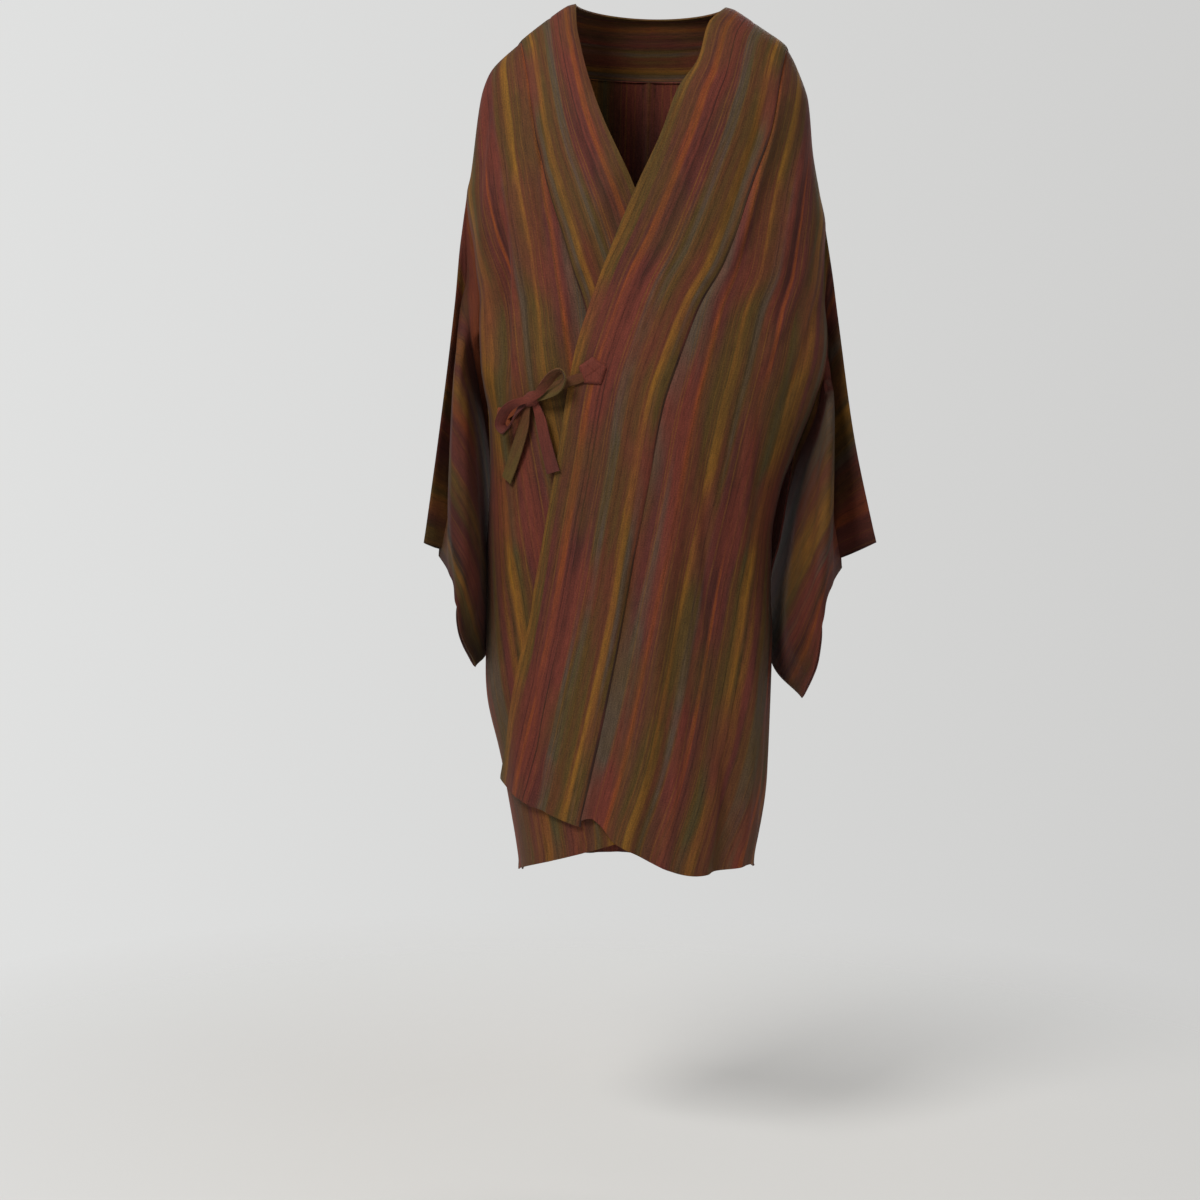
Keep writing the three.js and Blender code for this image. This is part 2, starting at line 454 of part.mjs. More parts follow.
// ---------------------------------------------------------------- collar
// The band from the body's seam to the finished edge, one station for each row of the body.
function collarSheet(side, body) {
  const spec = SIDES[side];
  const sheet = new Sheet();
  const stations = [];
  const finish = (zSide) => (SHOULDER_Z - zSide) / (SHOULDER_Z - spec.hem);
  [...body.heights].reverse().forEach((zSide, i) => {
    const along = finish(zSide);
    const zSeam = lerp(SHOULDER_Z, spec.seamHem, along);
    const zEdge = lerp(EDGE_TOP.z, spec.edgeHem, along);
    stations.push({
      face: 'front', seam: [angleOf('front', spec.seam(zSeam), zSeam), zSeam],
      edge: [angleOf('front', spec.edge(zEdge), zEdge), zEdge],
      on: body.border.front[body.heights.length - 1 - i], along,
    });
  });
  const quarter = spec.sign * Math.PI / 2;
  stations.push({ face: 'front', seam: [quarter, SHOULDER_Z], edge: [quarter, EDGE_TOP.z],
    on: body.border.crest, along: 0 });
  body.border.back.forEach((on, i) => {
    const t = i < 5 ? (i + 0.6) / 5.6 : 1;
    stations.push({ face: 'back', seam: [spec.sign * neckAngle(t), neckHeight(t)],
      edge: [spec.sign * neckAngle(t), lerp(EDGE_TOP.z, EDGE_TOP.back, smooth(t))], on, along: 0 });
  });
  const ids = stations.map((station) => {
    const step = COLLAR_STEP * (1 - smooth(station.along / 0.3));
    return Array.from({ length: COLLAR_COLUMNS + 1 }, (_, i) => {
      const share = i / COLLAR_COLUMNS;
      if (i === 0) return sheet.add(body.sheet.points[station.on]);
      const angle = lerp(station.seam[0], station.edge[0], share);
      const z = lerp(station.seam[1], station.edge[1], share);
      const x = widthAt(station.face, angle, z) * Math.sin(angle);
      const lift = station.face === 'front' ? underlap(side, x, z) : 0;
      const roll = step * smooth((1 - share) / 0.3 + 0.2);
      const point = formPoint(station.face, angle, z, lift + (lift < -1 ? 0 : roll));
      if (station.face === 'back' && Math.abs(angle) < 1e-6) point.x = spec.sign * SEAM_GAP / 2;
      return sheet.add(point);
    });
  });
  for (let s = 0; s + 1 < ids.length; s += 1) {
    for (let i = 0; i < COLLAR_COLUMNS; i += 1) {
      sheet.quad(ids[s][i], ids[s][i + 1], ids[s + 1][i + 1], ids[s + 1][i], side === 'left');
    }
  }
  sew(body.sheet, stations.map((s) => s.on), sheet, ids.map((row) => row[0]), ids.map((row) => row[1]));
  stations.forEach((station, s) => {
    const step = COLLAR_STEP * (1 - smooth(station.along / 0.3));
    sheet.points[ids[s][0]].addScaledVector(sheet.pins.get(ids[s][0]), step);
  });
  return { sheet, middle: ids[ids.length - 1] };
}

// The middle of the back is one plane: walls there stand square to it.
function squareMiddle(sheet, ids) {
  const { sums } = sheet.normals();
  ids.forEach((id) => {
    const n = (sheet.pins.get(id) ?? sums[id]).clone();
    n.x = 0;
    sheet.pins.set(id, n.normalize());
  });
}

// ---------------------------------------------------------------- sleeves
const SLEEVE_KNOTS = [0, 0.25, 0.5, 0.75, 1];
function sleeveMiddle(table) {
  const columns = ['fold', 'behind', 'ridge', 'inner', 'seam'];
  const along = columns.map((name) => through(table.map((row) => row[name]), table.map((row) => row.at)));
  return (q, r) => {
    const points = along.map((line) => line(q).toArray());
    return through(points, SLEEVE_KNOTS)(r);
  };
}

// Half the space between the two layers, closing at the folds and along the sewn part of the cuff.
function sleeveSpace(q, r) {
  const ends = Math.sqrt(clamp(1 - (2 * r - 1) ** 2, 0, 1));
  const cuff = smooth((q - 0.72) / 0.28);
  const open = bell((r - CUFF_OPEN / 2) / (CUFF_OPEN / 2 + 0.06));
  const sewnDown = SEAM_GAP + WALL / 2 + 0.2;
  const plain = ends * lerp(ROOT_GAP, SLEEVE_GAP, smooth(q / 0.3));
  return lerp(plain, lerp(sewnDown, CUFF_GAP, open) * Math.min(1, ends * 2.4), cuff);
}

function sleeveSheet(side, body) {
  const spec = SIDES[side];
  const middle = sleeveMiddle(spec.sleeve);
  const sheet = new Sheet();
  const sewn = body.border.armFront.length;
  const half = SLEEVE_COLUMNS.length;
  const share = (j) => SLEEVE_COLUMNS[j];
  const layer = (q, j, out) => {
    const r = share(j);
    const e = 0.01;
    const along = middle(Math.min(q + e, 1), r).sub(middle(Math.max(q - e, 0), r));
    const down = middle(q, Math.min(r + e, 1)).sub(middle(q, Math.max(r - e, 0)));
    const front = down.cross(along).normalize().multiplyScalar(spec.sign);
    front.lerp(new THREE.Vector3(0, -1, 0), 1 - smooth(q / 0.3)).normalize();
    return middle(q, r).addScaledVector(front, out * sleeveSpace(q, r));
  };
  const root = { start: [], next: [], border: [] };
  const rings = [];
  for (let k = 0; k <= SLEEVE_RINGS; k += 1) {
    const q = k / SLEEVE_RINGS;
    const front = [];
    const back = [];
    for (let j = 0; j < half; j += 1) {
      const fixed = k === 0 && j < sewn;
      const ends = j === 0 || j === half - 1;
      const place = (out, edge) => (fixed ? body.sheet.points[edge[j]] : layer(q, j, ends ? 0 : out));
      front.push(sheet.add(place(1, body.border.armFront)));
      back.push(ends ? front[j] : sheet.add(place(-1, body.border.armBack)));
    }
    rings.push([...front, ...back.slice(1, -1).reverse()]);
  }
  const count = rings[0].length;
  for (let k = 0; k < SLEEVE_RINGS; k += 1) {
    for (let j = 0; j < count; j += 1) {
      const n = (j + 1) % count;
      const cell = [rings[k][j], rings[k][n], rings[k + 1][n], rings[k + 1][j]];
      // Both layers are split along the short diagonal, so that they stay level with each other.
      if (j < half - 1) cell.push(cell.shift());
      sheet.quad(...cell, side !== 'left');
    }
  }
  for (let j = 1 - sewn; j < sewn; j += 1) {
    const at = (j + count) % count;
    root.border.push(j < 0 ? body.border.armBack[-j] : body.border.armFront[j]);
    root.start.push(rings[0][at]);
    root.next.push(rings[1][at]);
  }
  sew(body.sheet, root.border, sheet, root.start, root.next);
  const [backBelow, frontBelow] = body.border.below;
  return { sheet, border: [backBelow, ...root.border, frontBelow] };
}

// ---------------------------------------------------------------- ties
// A place on the closed front: x and z as seen from before, and a height off the cloth.
function frontOut(x, z) {
  const spot = formPoint('front', angleOf('front', x, z), z, 0);
  return new THREE.Vector3(spot.x / widthAt('front', x, z) ** 2, spot.y / DEEP.front(z) ** 2, 0).normalize();
}
function onFront(x, z, height) {
  let foot = x;
  for (let i = 0; i < 3; i += 1) foot = x - height * frontOut(foot, z).x;
  return formPoint('front', angleOf('front', foot, z), z, 0).addScaledVector(frontOut(foot, z), height);
}

// A flat strip along a path; turn 0 lays it flat on the front, 90 stands it on edge.
function strip(path, across = 2) {
  const sheet = new Sheet();
  const points = path.map((row) => onFront(row.x, row.z, row.high));
  const rows = points.map((point, i) => {
    const row = path[i];
    const ahead = points[Math.min(i + 1, points.length - 1)].clone().sub(points[Math.max(i - 1, 0)]).normalize();
    const out = frontOut(row.x, row.z);
    const side = out.clone().cross(ahead).normalize().applyAxisAngle(ahead, THREE.MathUtils.degToRad(row.turn));
    return Array.from({ length: across + 1 }, (_, j) => sheet.add(
      point.clone().addScaledVector(side, row.wide * (j / across - 0.5))));
  });
  for (let i = 0; i + 1 < rows.length; i += 1) {
    for (let j = 0; j < across; j += 1) {
      sheet.quad(rows[i][j], rows[i][j + 1], rows[i + 1][j + 1], rows[i + 1][j], false);
    }
  }
  return sheet.fusedWall(TIE_WALL);
}

// The folded pentagon that covers the root of a tie, laid on the front and bending with it.
function pentagon(spot, grow = 0) {
  const { x, z, radius, turn } = spot;
  const height = WALL / 2 + SEAM_GAP + KNOT_PAD / 2 + spot.clear;
  const sheet = new Sheet();
  const middle = angleOf('front', x, z);
  const speed = Math.hypot(widthAt('front', x, z) * Math.cos(middle), DEEP.front(z) * Math.sin(middle));
  const place = (u, v) => {
    const angle = middle + u / speed;
    return onFront(widthAt('front', x, z + v) * Math.sin(angle), z + v, height);
  };
  const centre = sheet.add(place(0, 0));
  const ring = (r) => Array.from({ length: 10 }, (_, i) => {
    const a = turn + (Math.PI / 5) * i;
    const reach = r * (i % 2 ? Math.cos(Math.PI / 5) : 1);
    return sheet.add(place(reach * Math.cos(a), reach * Math.sin(a)));
  });
  const [inner, outer] = [ring(radius * 0.55), ring(radius + grow)];
  for (let i = 0; i < 10; i += 1) {
    const n = (i + 1) % 10;
    sheet.quad(centre, inner[i], inner[n], inner[n], false);
    sheet.quad(inner[i], outer[i], outer[n], inner[n], false);
  }
  return sheet.wall(KNOT_PAD + 2 * grow);
}

// The knot: the strips drawn tight round each other, a rounded block.
function knotBlock(grow = 0) {
  const geometry = new THREE.SphereGeometry(1, 14, 10);
  const place = geometry.getAttribute('position');
  const squash = (v) => Math.sign(v) * Math.abs(v) ** 0.7;
  const centre = onFront(KNOT.x, KNOT.z, KNOT.high);
  const out = frontOut(KNOT.x, KNOT.z);
  const along = new THREE.Vector3(0, 0, 1).cross(out).applyAxisAngle(out, KNOT.turn).normalize();
  const up = out.clone().cross(along);
  for (let i = 0; i < place.count; i += 1) {
    const spot = centre.clone().addScaledVector(along, squash(place.getX(i)) * (KNOT.long / 2 + grow))
      .addScaledVector(up, squash(place.getY(i)) * (KNOT.wide / 2 + grow))
      .addScaledVector(out, place.getZ(i) * (KNOT.deep / 2 + grow));
    place.setXYZ(i, spot.x, spot.y, spot.z);
  }
  geometry.deleteAttribute('normal');
  geometry.deleteAttribute('uv');
  return mergeVertices(geometry, 1e-4);
}

// The closed solid of a geometry, and a geometry with other solids cut away from it.
function solidOf(geometry) {
  return new wasm.Manifold(new wasm.Mesh({ numProp: 3,
    vertProperties: Float32Array.from(geometry.getAttribute('position').array),
    triVerts: Uint32Array.from(geometry.getIndex().array) }));
}
function geometryOf(solid) {
  const mesh = solid.getMesh();
  const out = new THREE.BufferGeometry();
  out.setAttribute('position', new THREE.Float32BufferAttribute(Array.from(mesh.vertProperties), 3));
  out.setIndex(Array.from(mesh.triVerts));
  return out;
}
// A thin guard round a wall's end along a border: cut from the piece sewn there, it keeps the two apart.
function guard(sheet, border, thickness, gap) {
  const place = sheet.skins(thickness);
  const around = (id) => [0, 1, 2].flatMap((axis) => [-gap, gap].map((d) => {
    const spot = place.slice(3 * id, 3 * id + 3);
    spot[axis] += d;
    return spot;
  }));
  const ends = border.slice(1).map((id, i) => wasm.Manifold.hull(
    [border[i], id, border[i] + sheet.points.length, id + sheet.points.length].flatMap(around)));
  return geometryOf(wasm.Manifold.union(ends));
}
function cutAway(geometry, cutters) {
  return geometryOf(cutters.reduce((solid, cutter) => solid.subtract(solidOf(cutter)), solidOf(geometry)));
}

function ties() {
  const knot = knotBlock(SEAM_GAP + 0.1);
  const roots = { left: pentagon(PENTAGONS.left, SEAM_GAP), right: pentagon(PENTAGONS.right, SEAM_GAP) };
  return [
    ['tie_pentagon_left', pentagon(PENTAGONS.left), TIE_COLOUR],
    ['tie_pentagon_right', pentagon(PENTAGONS.right), TIE_WARM],
    ['tie_knot', knotBlock(), TIE_COLOUR],
    ['tie_strap_left', cutAway(strip(STRAP_LEFT), [knot, roots.left]), TIE_COLOUR],
    ['tie_strap_right', cutAway(strip(STRAP_RIGHT), [knot, roots.right]), TIE_WARM],
    ['tie_loop_upper', cutAway(strip(LOOP_UPPER), [knot]), TIE_COLOUR],
    ['tie_loop_lower', cutAway(strip(LOOP_LOWER), [knot]), TIE_COLOUR],
    ['tie_tail_right', cutAway(strip(TAIL_RIGHT), [knot]), TIE_COLOUR],
    ['tie_tail_left', cutAway(strip(TAIL_LEFT), [knot]), TIE_OLIVE],
  ];
}

// ---------------------------------------------------------------- colours and the whole coat
const SILK = { rust: 0x7a3b24, ochre: 0x7d5522, brick: 0x74322a, olive: 0x5b4a25 };
const TIE_COLOUR = 0x6e3026;
const TIE_WARM = 0x8a3b22;
const TIE_OLIVE = 0x5a4a26;

function kimonoCoat() {
  const group = new THREE.Group();
  group.name = 'kimono_coat';
  const put = (name, geometry, color) => {
    const material = new THREE.MeshStandardMaterial({ color, roughness: 0.62, metalness: 0 });
    const mesh = new THREE.Mesh(geometry, material);
    mesh.name = name;
    group.add(mesh);
  };
  ['left', 'right'].forEach((side) => {
    const body = bodySheet(side);
    const collar = collarSheet(side, body);
    const sleeve = sleeveSheet(side, body);
    squareMiddle(body.sheet, body.border.middle);
    squareMiddle(collar.sheet, collar.middle);
    put(`body_${side}`, body.sheet.wall(WALL), side === 'left' ? SILK.rust : SILK.brick);
    put(`collar_${side}`, collar.sheet.wall(WALL), SILK.ochre);
    const clear = [guard(body.sheet, sleeve.border, WALL, SEAM_GAP * 1.4), body.sheet.wall(WALL + 2 * SEAM_GAP)];
    put(`sleeve_${side}`, cutAway(sleeve.sheet.fusedWall(WALL), clear), side === 'left' ? SILK.brick : SILK.rust);
  });
  ties().forEach(([name, geometry, color]) => put(name, geometry, color));
  return group;
}

export default kimonoCoat();
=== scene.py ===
"""Kimono coat of striped silk: the sewn cloth, the collar band, the hanging sleeves and the bow.

Sizes are in millimetres in the tables and in metres in the meshes. +X is the wearer's left, -Y is
the front and +Z is up; the origin is the middle of the neck at the shoulders.
"""
import logging
import math
from dataclasses import dataclass, field
from enum import Enum

import bmesh
import bpy
import numpy as np
from mathutils import Euler, Matrix, Vector


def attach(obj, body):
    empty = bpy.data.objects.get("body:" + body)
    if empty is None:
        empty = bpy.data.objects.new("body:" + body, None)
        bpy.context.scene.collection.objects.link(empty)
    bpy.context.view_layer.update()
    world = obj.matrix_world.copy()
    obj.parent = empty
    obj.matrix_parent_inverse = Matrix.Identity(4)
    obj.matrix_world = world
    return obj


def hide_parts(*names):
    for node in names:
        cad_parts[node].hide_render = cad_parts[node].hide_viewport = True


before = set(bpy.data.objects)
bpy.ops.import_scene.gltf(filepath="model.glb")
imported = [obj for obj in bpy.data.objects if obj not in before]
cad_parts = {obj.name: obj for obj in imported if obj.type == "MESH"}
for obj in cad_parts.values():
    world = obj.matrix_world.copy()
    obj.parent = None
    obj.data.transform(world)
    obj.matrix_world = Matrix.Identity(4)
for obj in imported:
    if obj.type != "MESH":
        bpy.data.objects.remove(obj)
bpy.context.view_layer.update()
LOG = logging.getLogger("kimono_coat")
Array = np.ndarray

SHOULDER_Z = -3.0        # where the collar seam crosses the shoulder
NECK_DIP = -35.0         # collar seam at the middle of the back
EDGE_TOP = 42.0          # finished collar edge beside the neck
EDGE_BACK = 36.0         # the same at the middle of the back
BACK_HEM = -955.0        # hem at the middle of the back
UNDERLAP = 6.5           # the right front lies this far inside the left one
COLLAR_STEP = 1.6        # the doubled collar stands above the shoulders by this
BAND_REACH = 110.0       # usual width of the collar band on the form
BAND_SEAM = 66.0         # the band's own lengthwise seam, from the collar seam
BAND_GROOVES = ((0.0, 3.5, 2.4), (BAND_SEAM, 2.8, 1.5))  # place, half width and depth
STRIPE_SHIFT = 36.0      # the body's stripes move this far over at the shoulder
STRIPE_LEAD = 105.0      # stripes of the back start this far from its middle
FRONT_LENGTH = 930.0     # usual length of the front from the shoulder
BAND_WIDTH = {"left": 125.0, "right": 128.0}  # width of the finished band on the flat cloth
HEM_TURN = 16.0          # the hem is doubled this far up
EDGE_TURN = 14.0         # and the open side edges this far in
SLEEVE_KNOTS = (0.0, 0.25, 0.5, 0.75, 1.0)
SLEEVE_FLAT = (350.0, 360.0)  # width, and depth of one layer on the flat cloth


# ---------------------------------------------------------------- small mathematics
def lerp(a: Array, b: Array, t: Array) -> Array:
    """Straight mix of two values."""
    return a + (b - a) * t


def smooth(t: Array) -> Array:
    """Soft step from 0 to 1."""
    c = np.clip(t, 0.0, 1.0)
    return c * c * (3.0 - 2.0 * c)


def bell(d: Array) -> Array:
    """Round bump, 1 in the middle and 0 from a distance of 1."""
    return np.where(np.abs(d) >= 1.0, 0.0, (1.0 + np.cos(np.pi * np.clip(d, -1.0, 1.0))) / 2.0)


def hermite(knots: Array, values: Array, slopes: Array, at: Array) -> Array:
    """Cubic through knots with given slopes.

    Args:
        knots: rising stations.
        values: one value, or row of values, for each station.
        slopes: slope of each value.
        at: where to read the curve.

    Returns:
        The curve's values, with the shape of at followed by that of one value.
    """
    v = np.clip(np.asarray(at, dtype=float), knots[0], knots[-1])
    i = np.clip(np.searchsorted(knots, v, side="right") - 1, 0, len(knots) - 2)
    h = knots[i + 1] - knots[i]
    t = (v - knots[i]) / h
    extra = (1,) * (values.ndim - 1)
    h, t = h.reshape(h.shape + extra), t.reshape(t.shape + extra)
    return ((1 + 2 * t) * (1 - t) ** 2 * values[i] + t * (1 - t) ** 2 * h * slopes[i]
            + t * t * (3 - 2 * t) * values[i + 1] + t * t * (t - 1) * h * slopes[i + 1])


class Curve:
    """Monotone smooth curve through one column of a table whose first column is the station."""

    def __init__(self, table: tuple, column: int) -> None:
        """Keep the sorted stations, the values and their slopes."""
        rows = sorted((float(row[0]), float(row[column])) for row in table)
        self.knots = np.array([row[0] for row in rows])
        self.values = np.array([row[1] for row in rows])
        step = np.diff(self.values) / np.diff(self.knots)
        slopes = np.concatenate([step[:1], np.zeros(len(rows) - 2), step[-1:]])
        for i in range(1, len(rows) - 1):
            a, b = step[i - 1], step[i]
            slopes[i] = 0.0 if a * b <= 0 else 2 * a * b / (a + b)
        self.slopes = slopes

    def __call__(self, at: Array) -> Array:
        """Read the curve."""
        return hermite(self.knots, self.values, self.slopes, at)


def through(points: Array, knots: Array, at: Array) -> Array:
    """Smooth path through points with the given knots, read at some stations."""
    knots = np.asarray(knots, dtype=float)
    last = len(knots) - 1
    low = np.maximum(np.arange(last + 1) - 1, 0)
    high = np.minimum(np.arange(last + 1) + 1, last)
    span = (knots[high] - knots[low]).reshape((-1,) + (1,) * (points.ndim - 1))
    return hermite(knots, points, (points[high] - points[low]) / span, at)


def run_length(points: Array, axis: int) -> Array:
    """Distance walked along one axis of a grid of points."""
    step = np.linalg.norm(np.diff(points, axis=axis), axis=-1)
    start = np.zeros_like(np.take(step, [0], axis=axis))
    return np.concatenate([start, np.cumsum(step, axis=axis)], axis=axis)


# ---------------------------------------------------------------- the worn form
class Face(Enum):
    """The two faces of the worn coat."""

    FRONT = "front"
    BACK = "back"


class Side(Enum):
    """The wearer's two sides; the value is the sign of X."""

    LEFT = 1
    RIGHT = -1


@dataclass(frozen=True)
class Crease:
    """A crease of the cloth through three places (x, z), with its half width and its rise."""

    top: tuple
    middle: tuple
    bottom: tuple
    half: float
    rise: float

    def lift(self, x: Array, z: Array) -> Array:
        """How far the crease lifts the cloth at some places."""
        span = self.bottom[1] - self.top[1]
        t = (z - self.top[1]) / span
        m = (self.middle[1] - self.top[1]) / span
        bend = (self.middle[0] - (self.top[0] + (self.bottom[0] - self.top[0]) * m)) / (m * (1 - m))
        line = self.top[0] + (self.bottom[0] - self.top[0]) * t + bend * t * (1 - t)
        out = 1.0 if self.bottom[1] < -900 else smooth((1 - t) / 0.35)
        inside = (t > 0) & (t <= 1.02)
        return np.where(inside, self.rise * smooth(t / 0.35) * out * bell((x - line) / self.half), 0.0)


def creases(*rows: tuple) -> tuple:
    """Creases from rows of top, middle, bottom, half width and rise."""
    return tuple(Crease(*row) for row in rows)


@dataclass(frozen=True)
class SideCut:
    """The lines of one half of the coat, by height: seam, finished edge, armhole and hem."""

    side: Side
    seam: Curve
    edge: Curve
    top: float
    end: float
    vent: float
    before: float
    behind: float
    seam_hem: float
    edge_hem: float
    hem: float

    def along(self, z_side: Array) -> Array:
        """Share of the way from the shoulder to the hem."""
        return (SHOULDER_Z - z_side) / (SHOULDER_Z - self.hem)

    def openness(self, z: Array) -> Array:
        """How wide the side stands open: widest in the armhole, narrower down the vent."""
        t = (self.top - z) / (self.top - self.end)
        arm = smooth(t / 0.45) * lerp(1.0, 0.5, smooth((t - 0.55) / 0.45))
        vent = 0.5 * smooth((z - self.vent) / (self.end - self.vent) / 0.6)
        slit = (z < self.top - 1) & (z > self.vent + 1)
        return np.where(slit, np.where(z > self.end, arm, vent), 0.0)

    def hem_drop(self, share: Array) -> Array:
        """How far the front's hem hangs from the straight line between seam and side."""
        if self.side is Side.RIGHT:
            return -6 * np.sin(np.pi * share)
        return -26 * bell((share - 0.42) / 0.42) + 14 * bell((share - 0.05) / 0.1)


# Half width of the worn coat by height: z, front, back.
LEFT_WIDTH = (
    (46, 78, 78), (42, 84, 84), (20, 118, 118), (-3, 151, 151), (-34, 168, 168), (-62, 178, 178),
    (-119, 185, 185), (-164, 194, 194), (-203, 202, 202), (-277, 200, 199), (-340, 206, 197),
    (-400, 194, 190), (-459, 174, 180), (-500, 160, 173), (-560, 151, 162), (-605, 151, 152),
    (-680, 155, 155), (-830, 154, 154), (-887, 149, 149), (-935, 141, 141),
)
RIGHT_WIDTH = (
    (46, 82, 82), (42, 88, 88), (20, 118, 118), (-3, 146, 146), (-40, 182, 182), (-68, 191, 191),
    (-153, 201, 201), (-175, 205, 205), (-250, 192, 196), (-303, 183, 188), (-362, 184, 182),
    (-424, 175, 176), (-500, 173, 173), (-582, 175, 173), (-718, 174, 167), (-808, 162, 153),
    (-921, 141, 131), (-940, 138, 127),
)
# Depth before and behind the shoulder line: z, front, back.
DEPTH = (
    (46, 20, 84), (36, 32, 90), (20, 43, 98), (-3, 55, 110), (-35, 74, 122), (-70, 90, 127),
    (-110, 100, 130), (-200, 111, 134), (-300, 117, 143), (-400, 119, 146), (-500, 116, 139),
    (-650, 113, 129), (-800, 115, 125), (-945, 116, 122),
)
# Collar seams and finished edges on the front: z, x.
LEFT_SEAM = ((-3, 151), (-96, 131), (-159, 112), (-245, 85), (-293, 59), (-351, 38), (-406, 21),
             (-503, 5), (-575, -7), (-733, -33), (-877, -60))
LEFT_EDGE = ((42, 84), (21, 63), (-19, 52), (-55, 29), (-106, 11), (-168, -16), (-277, -57),
             (-354, -79), (-475, -96), (-627, -120), (-838, -153))
RIGHT_SEAM = ((-3, -146), (-49, -136), (-119, -125), (-177, -109), (-218, -95), (-307, -68),
              (-430, -36), (-575, -8), (-733, 18), (-868, 42))
RIGHT_EDGE = ((42, -88), (17, -86), (-10, -80), (-36, -73), (-87, -54), (-139, -29), (-200, -2),
              (-277, 25), (-354, 46), (-475, 72), (-627, 98), (-836, 125))
# The large creases, which the solids have too, and the finer ones of the dressed cloth.
FRONT_CREASES = creases(
    ((36, -430), (24, -640), (-20, -935), 26, 9), ((134, -520), (138, -690), (126, -935), 24, 5),
    ((78, -410), (92, -640), (96, -935), 30, -3), ((150, -40), (124, -140), (84, -275), 16, 3),
    ((196, -215), (194, -320), (176, -440), 34, 3),
    ((-158, -190), (-160, -310), (-160, -430), 15, -6),
    ((-178, -90), (-184, -250), (-176, -420), 14, 4),
    ((-150, -470), (-140, -660), (-116, -935), 24, 4),
)
FRONT_FINE = creases(
    # left front: drags from the shoulder, the armhole's pulls and the hanging folds
    ((152, -18), (126, -120), (78, -300), 9, 3.9), ((134, -30), (110, -130), (70, -250), 8, -3.6),
    ((176, -80), (158, -190), (132, -330), 11, 3.3), ((192, -170), (170, -260), (120, -380), 10, 2.8),
    ((198, -240), (180, -330), (140, -440), 9, -3.6), ((202, -290), (188, -370), (158, -470), 8, 3.6),
    ((68, -400), (72, -520), (80, -700), 11, -3.0), ((112, -330), (118, -470), (108, -620), 12, 2.4),
    ((58, -560), (50, -720), (34, -938), 10, 3.9), ((-4, -470), (-16, -640), (-62, -938), 8, -3.3),
    ((104, -770), (106, -850), (98, -940), 14, -6.9), ((122, -640), (128, -780), (116, -940), 9, 3.6),
    ((148, -560), (150, -700), (142, -930), 6, -3.0), ((16, -640), (6, -780), (-24, -938), 7, -2.7),
    # right front: the dark trough beside the side bulge and the folds drawn to the bow
    ((-164, -190), (-160, -300), (-154, -430), 9, -5.4), ((-148, -180), (-146, -300), (-140, -420), 9, 3.6),
    ((-172, -250), (-176, -330), (-168, -436), 10, 4.8), ((-130, -40), (-146, -140), (-150, -260), 9, 2.7),
    ((-112, -60), (-124, -180), (-128, -330), 10, -2.4), ((-176, -40), (-186, -120), (-182, -230), 9, -2.7),
    ((-164, -440), (-152, -540), (-142, -700), 9, -3.3), ((-128, -520), (-120, -680), (-98, -938), 9, -2.7),
)
BACK_CREASES = creases(
    ((120, -120), (126, -230), (112, -340), 26, 4), ((-118, -110), (-128, -220), (-110, -330), 26, 4),
    ((70, -460), (78, -700), (84, -945), 34, 6), ((-58, -450), (-74, -690), (-78, -945), 34, 6),
    ((112, -500), (118, -700), (120, -945), 22, -4),
)
BACK_FINE = creases(
    ((86, -60), (104, -170), (128, -320), 11, 3.6), ((-80, -56), (-100, -160), (-124, -300), 12, 3.3),
    ((150, -110), (160, -230), (150, -380), 11, -3.9), ((-152, -110), (-160, -210), (-150, -340), 11, -3.6),
    ((178, -150), (172, -260), (150, -400), 10, 3.9), ((-180, -140), (-172, -240), (-152, -380), 10, 4.2),
    ((30, -150), (38, -300), (30, -470), 15, 2.4), ((-34, -170), (-40, -330), (-30, -480), 15, 2.1),
    ((48, -500), (52, -720), (50, -950), 11, -4.2), ((-36, -520), (-48, -730), (-50, -950), 11, -3.9),
    ((96, -470), (104, -690), (106, -950), 9, 3.0), ((-92, -480), (-104, -700), (-102, -950), 12, -4.5),
    ((-118, -520), (-124, -720), (-118, -950), 11, 4.8), ((140, -560), (138, -740), (134, -950), 10, 3.9),
    ((18, -620), (22, -780), (20, -950), 10, 2.4), ((-16, -560), (-20, -760), (-16, -950), 9, 2.1),
)


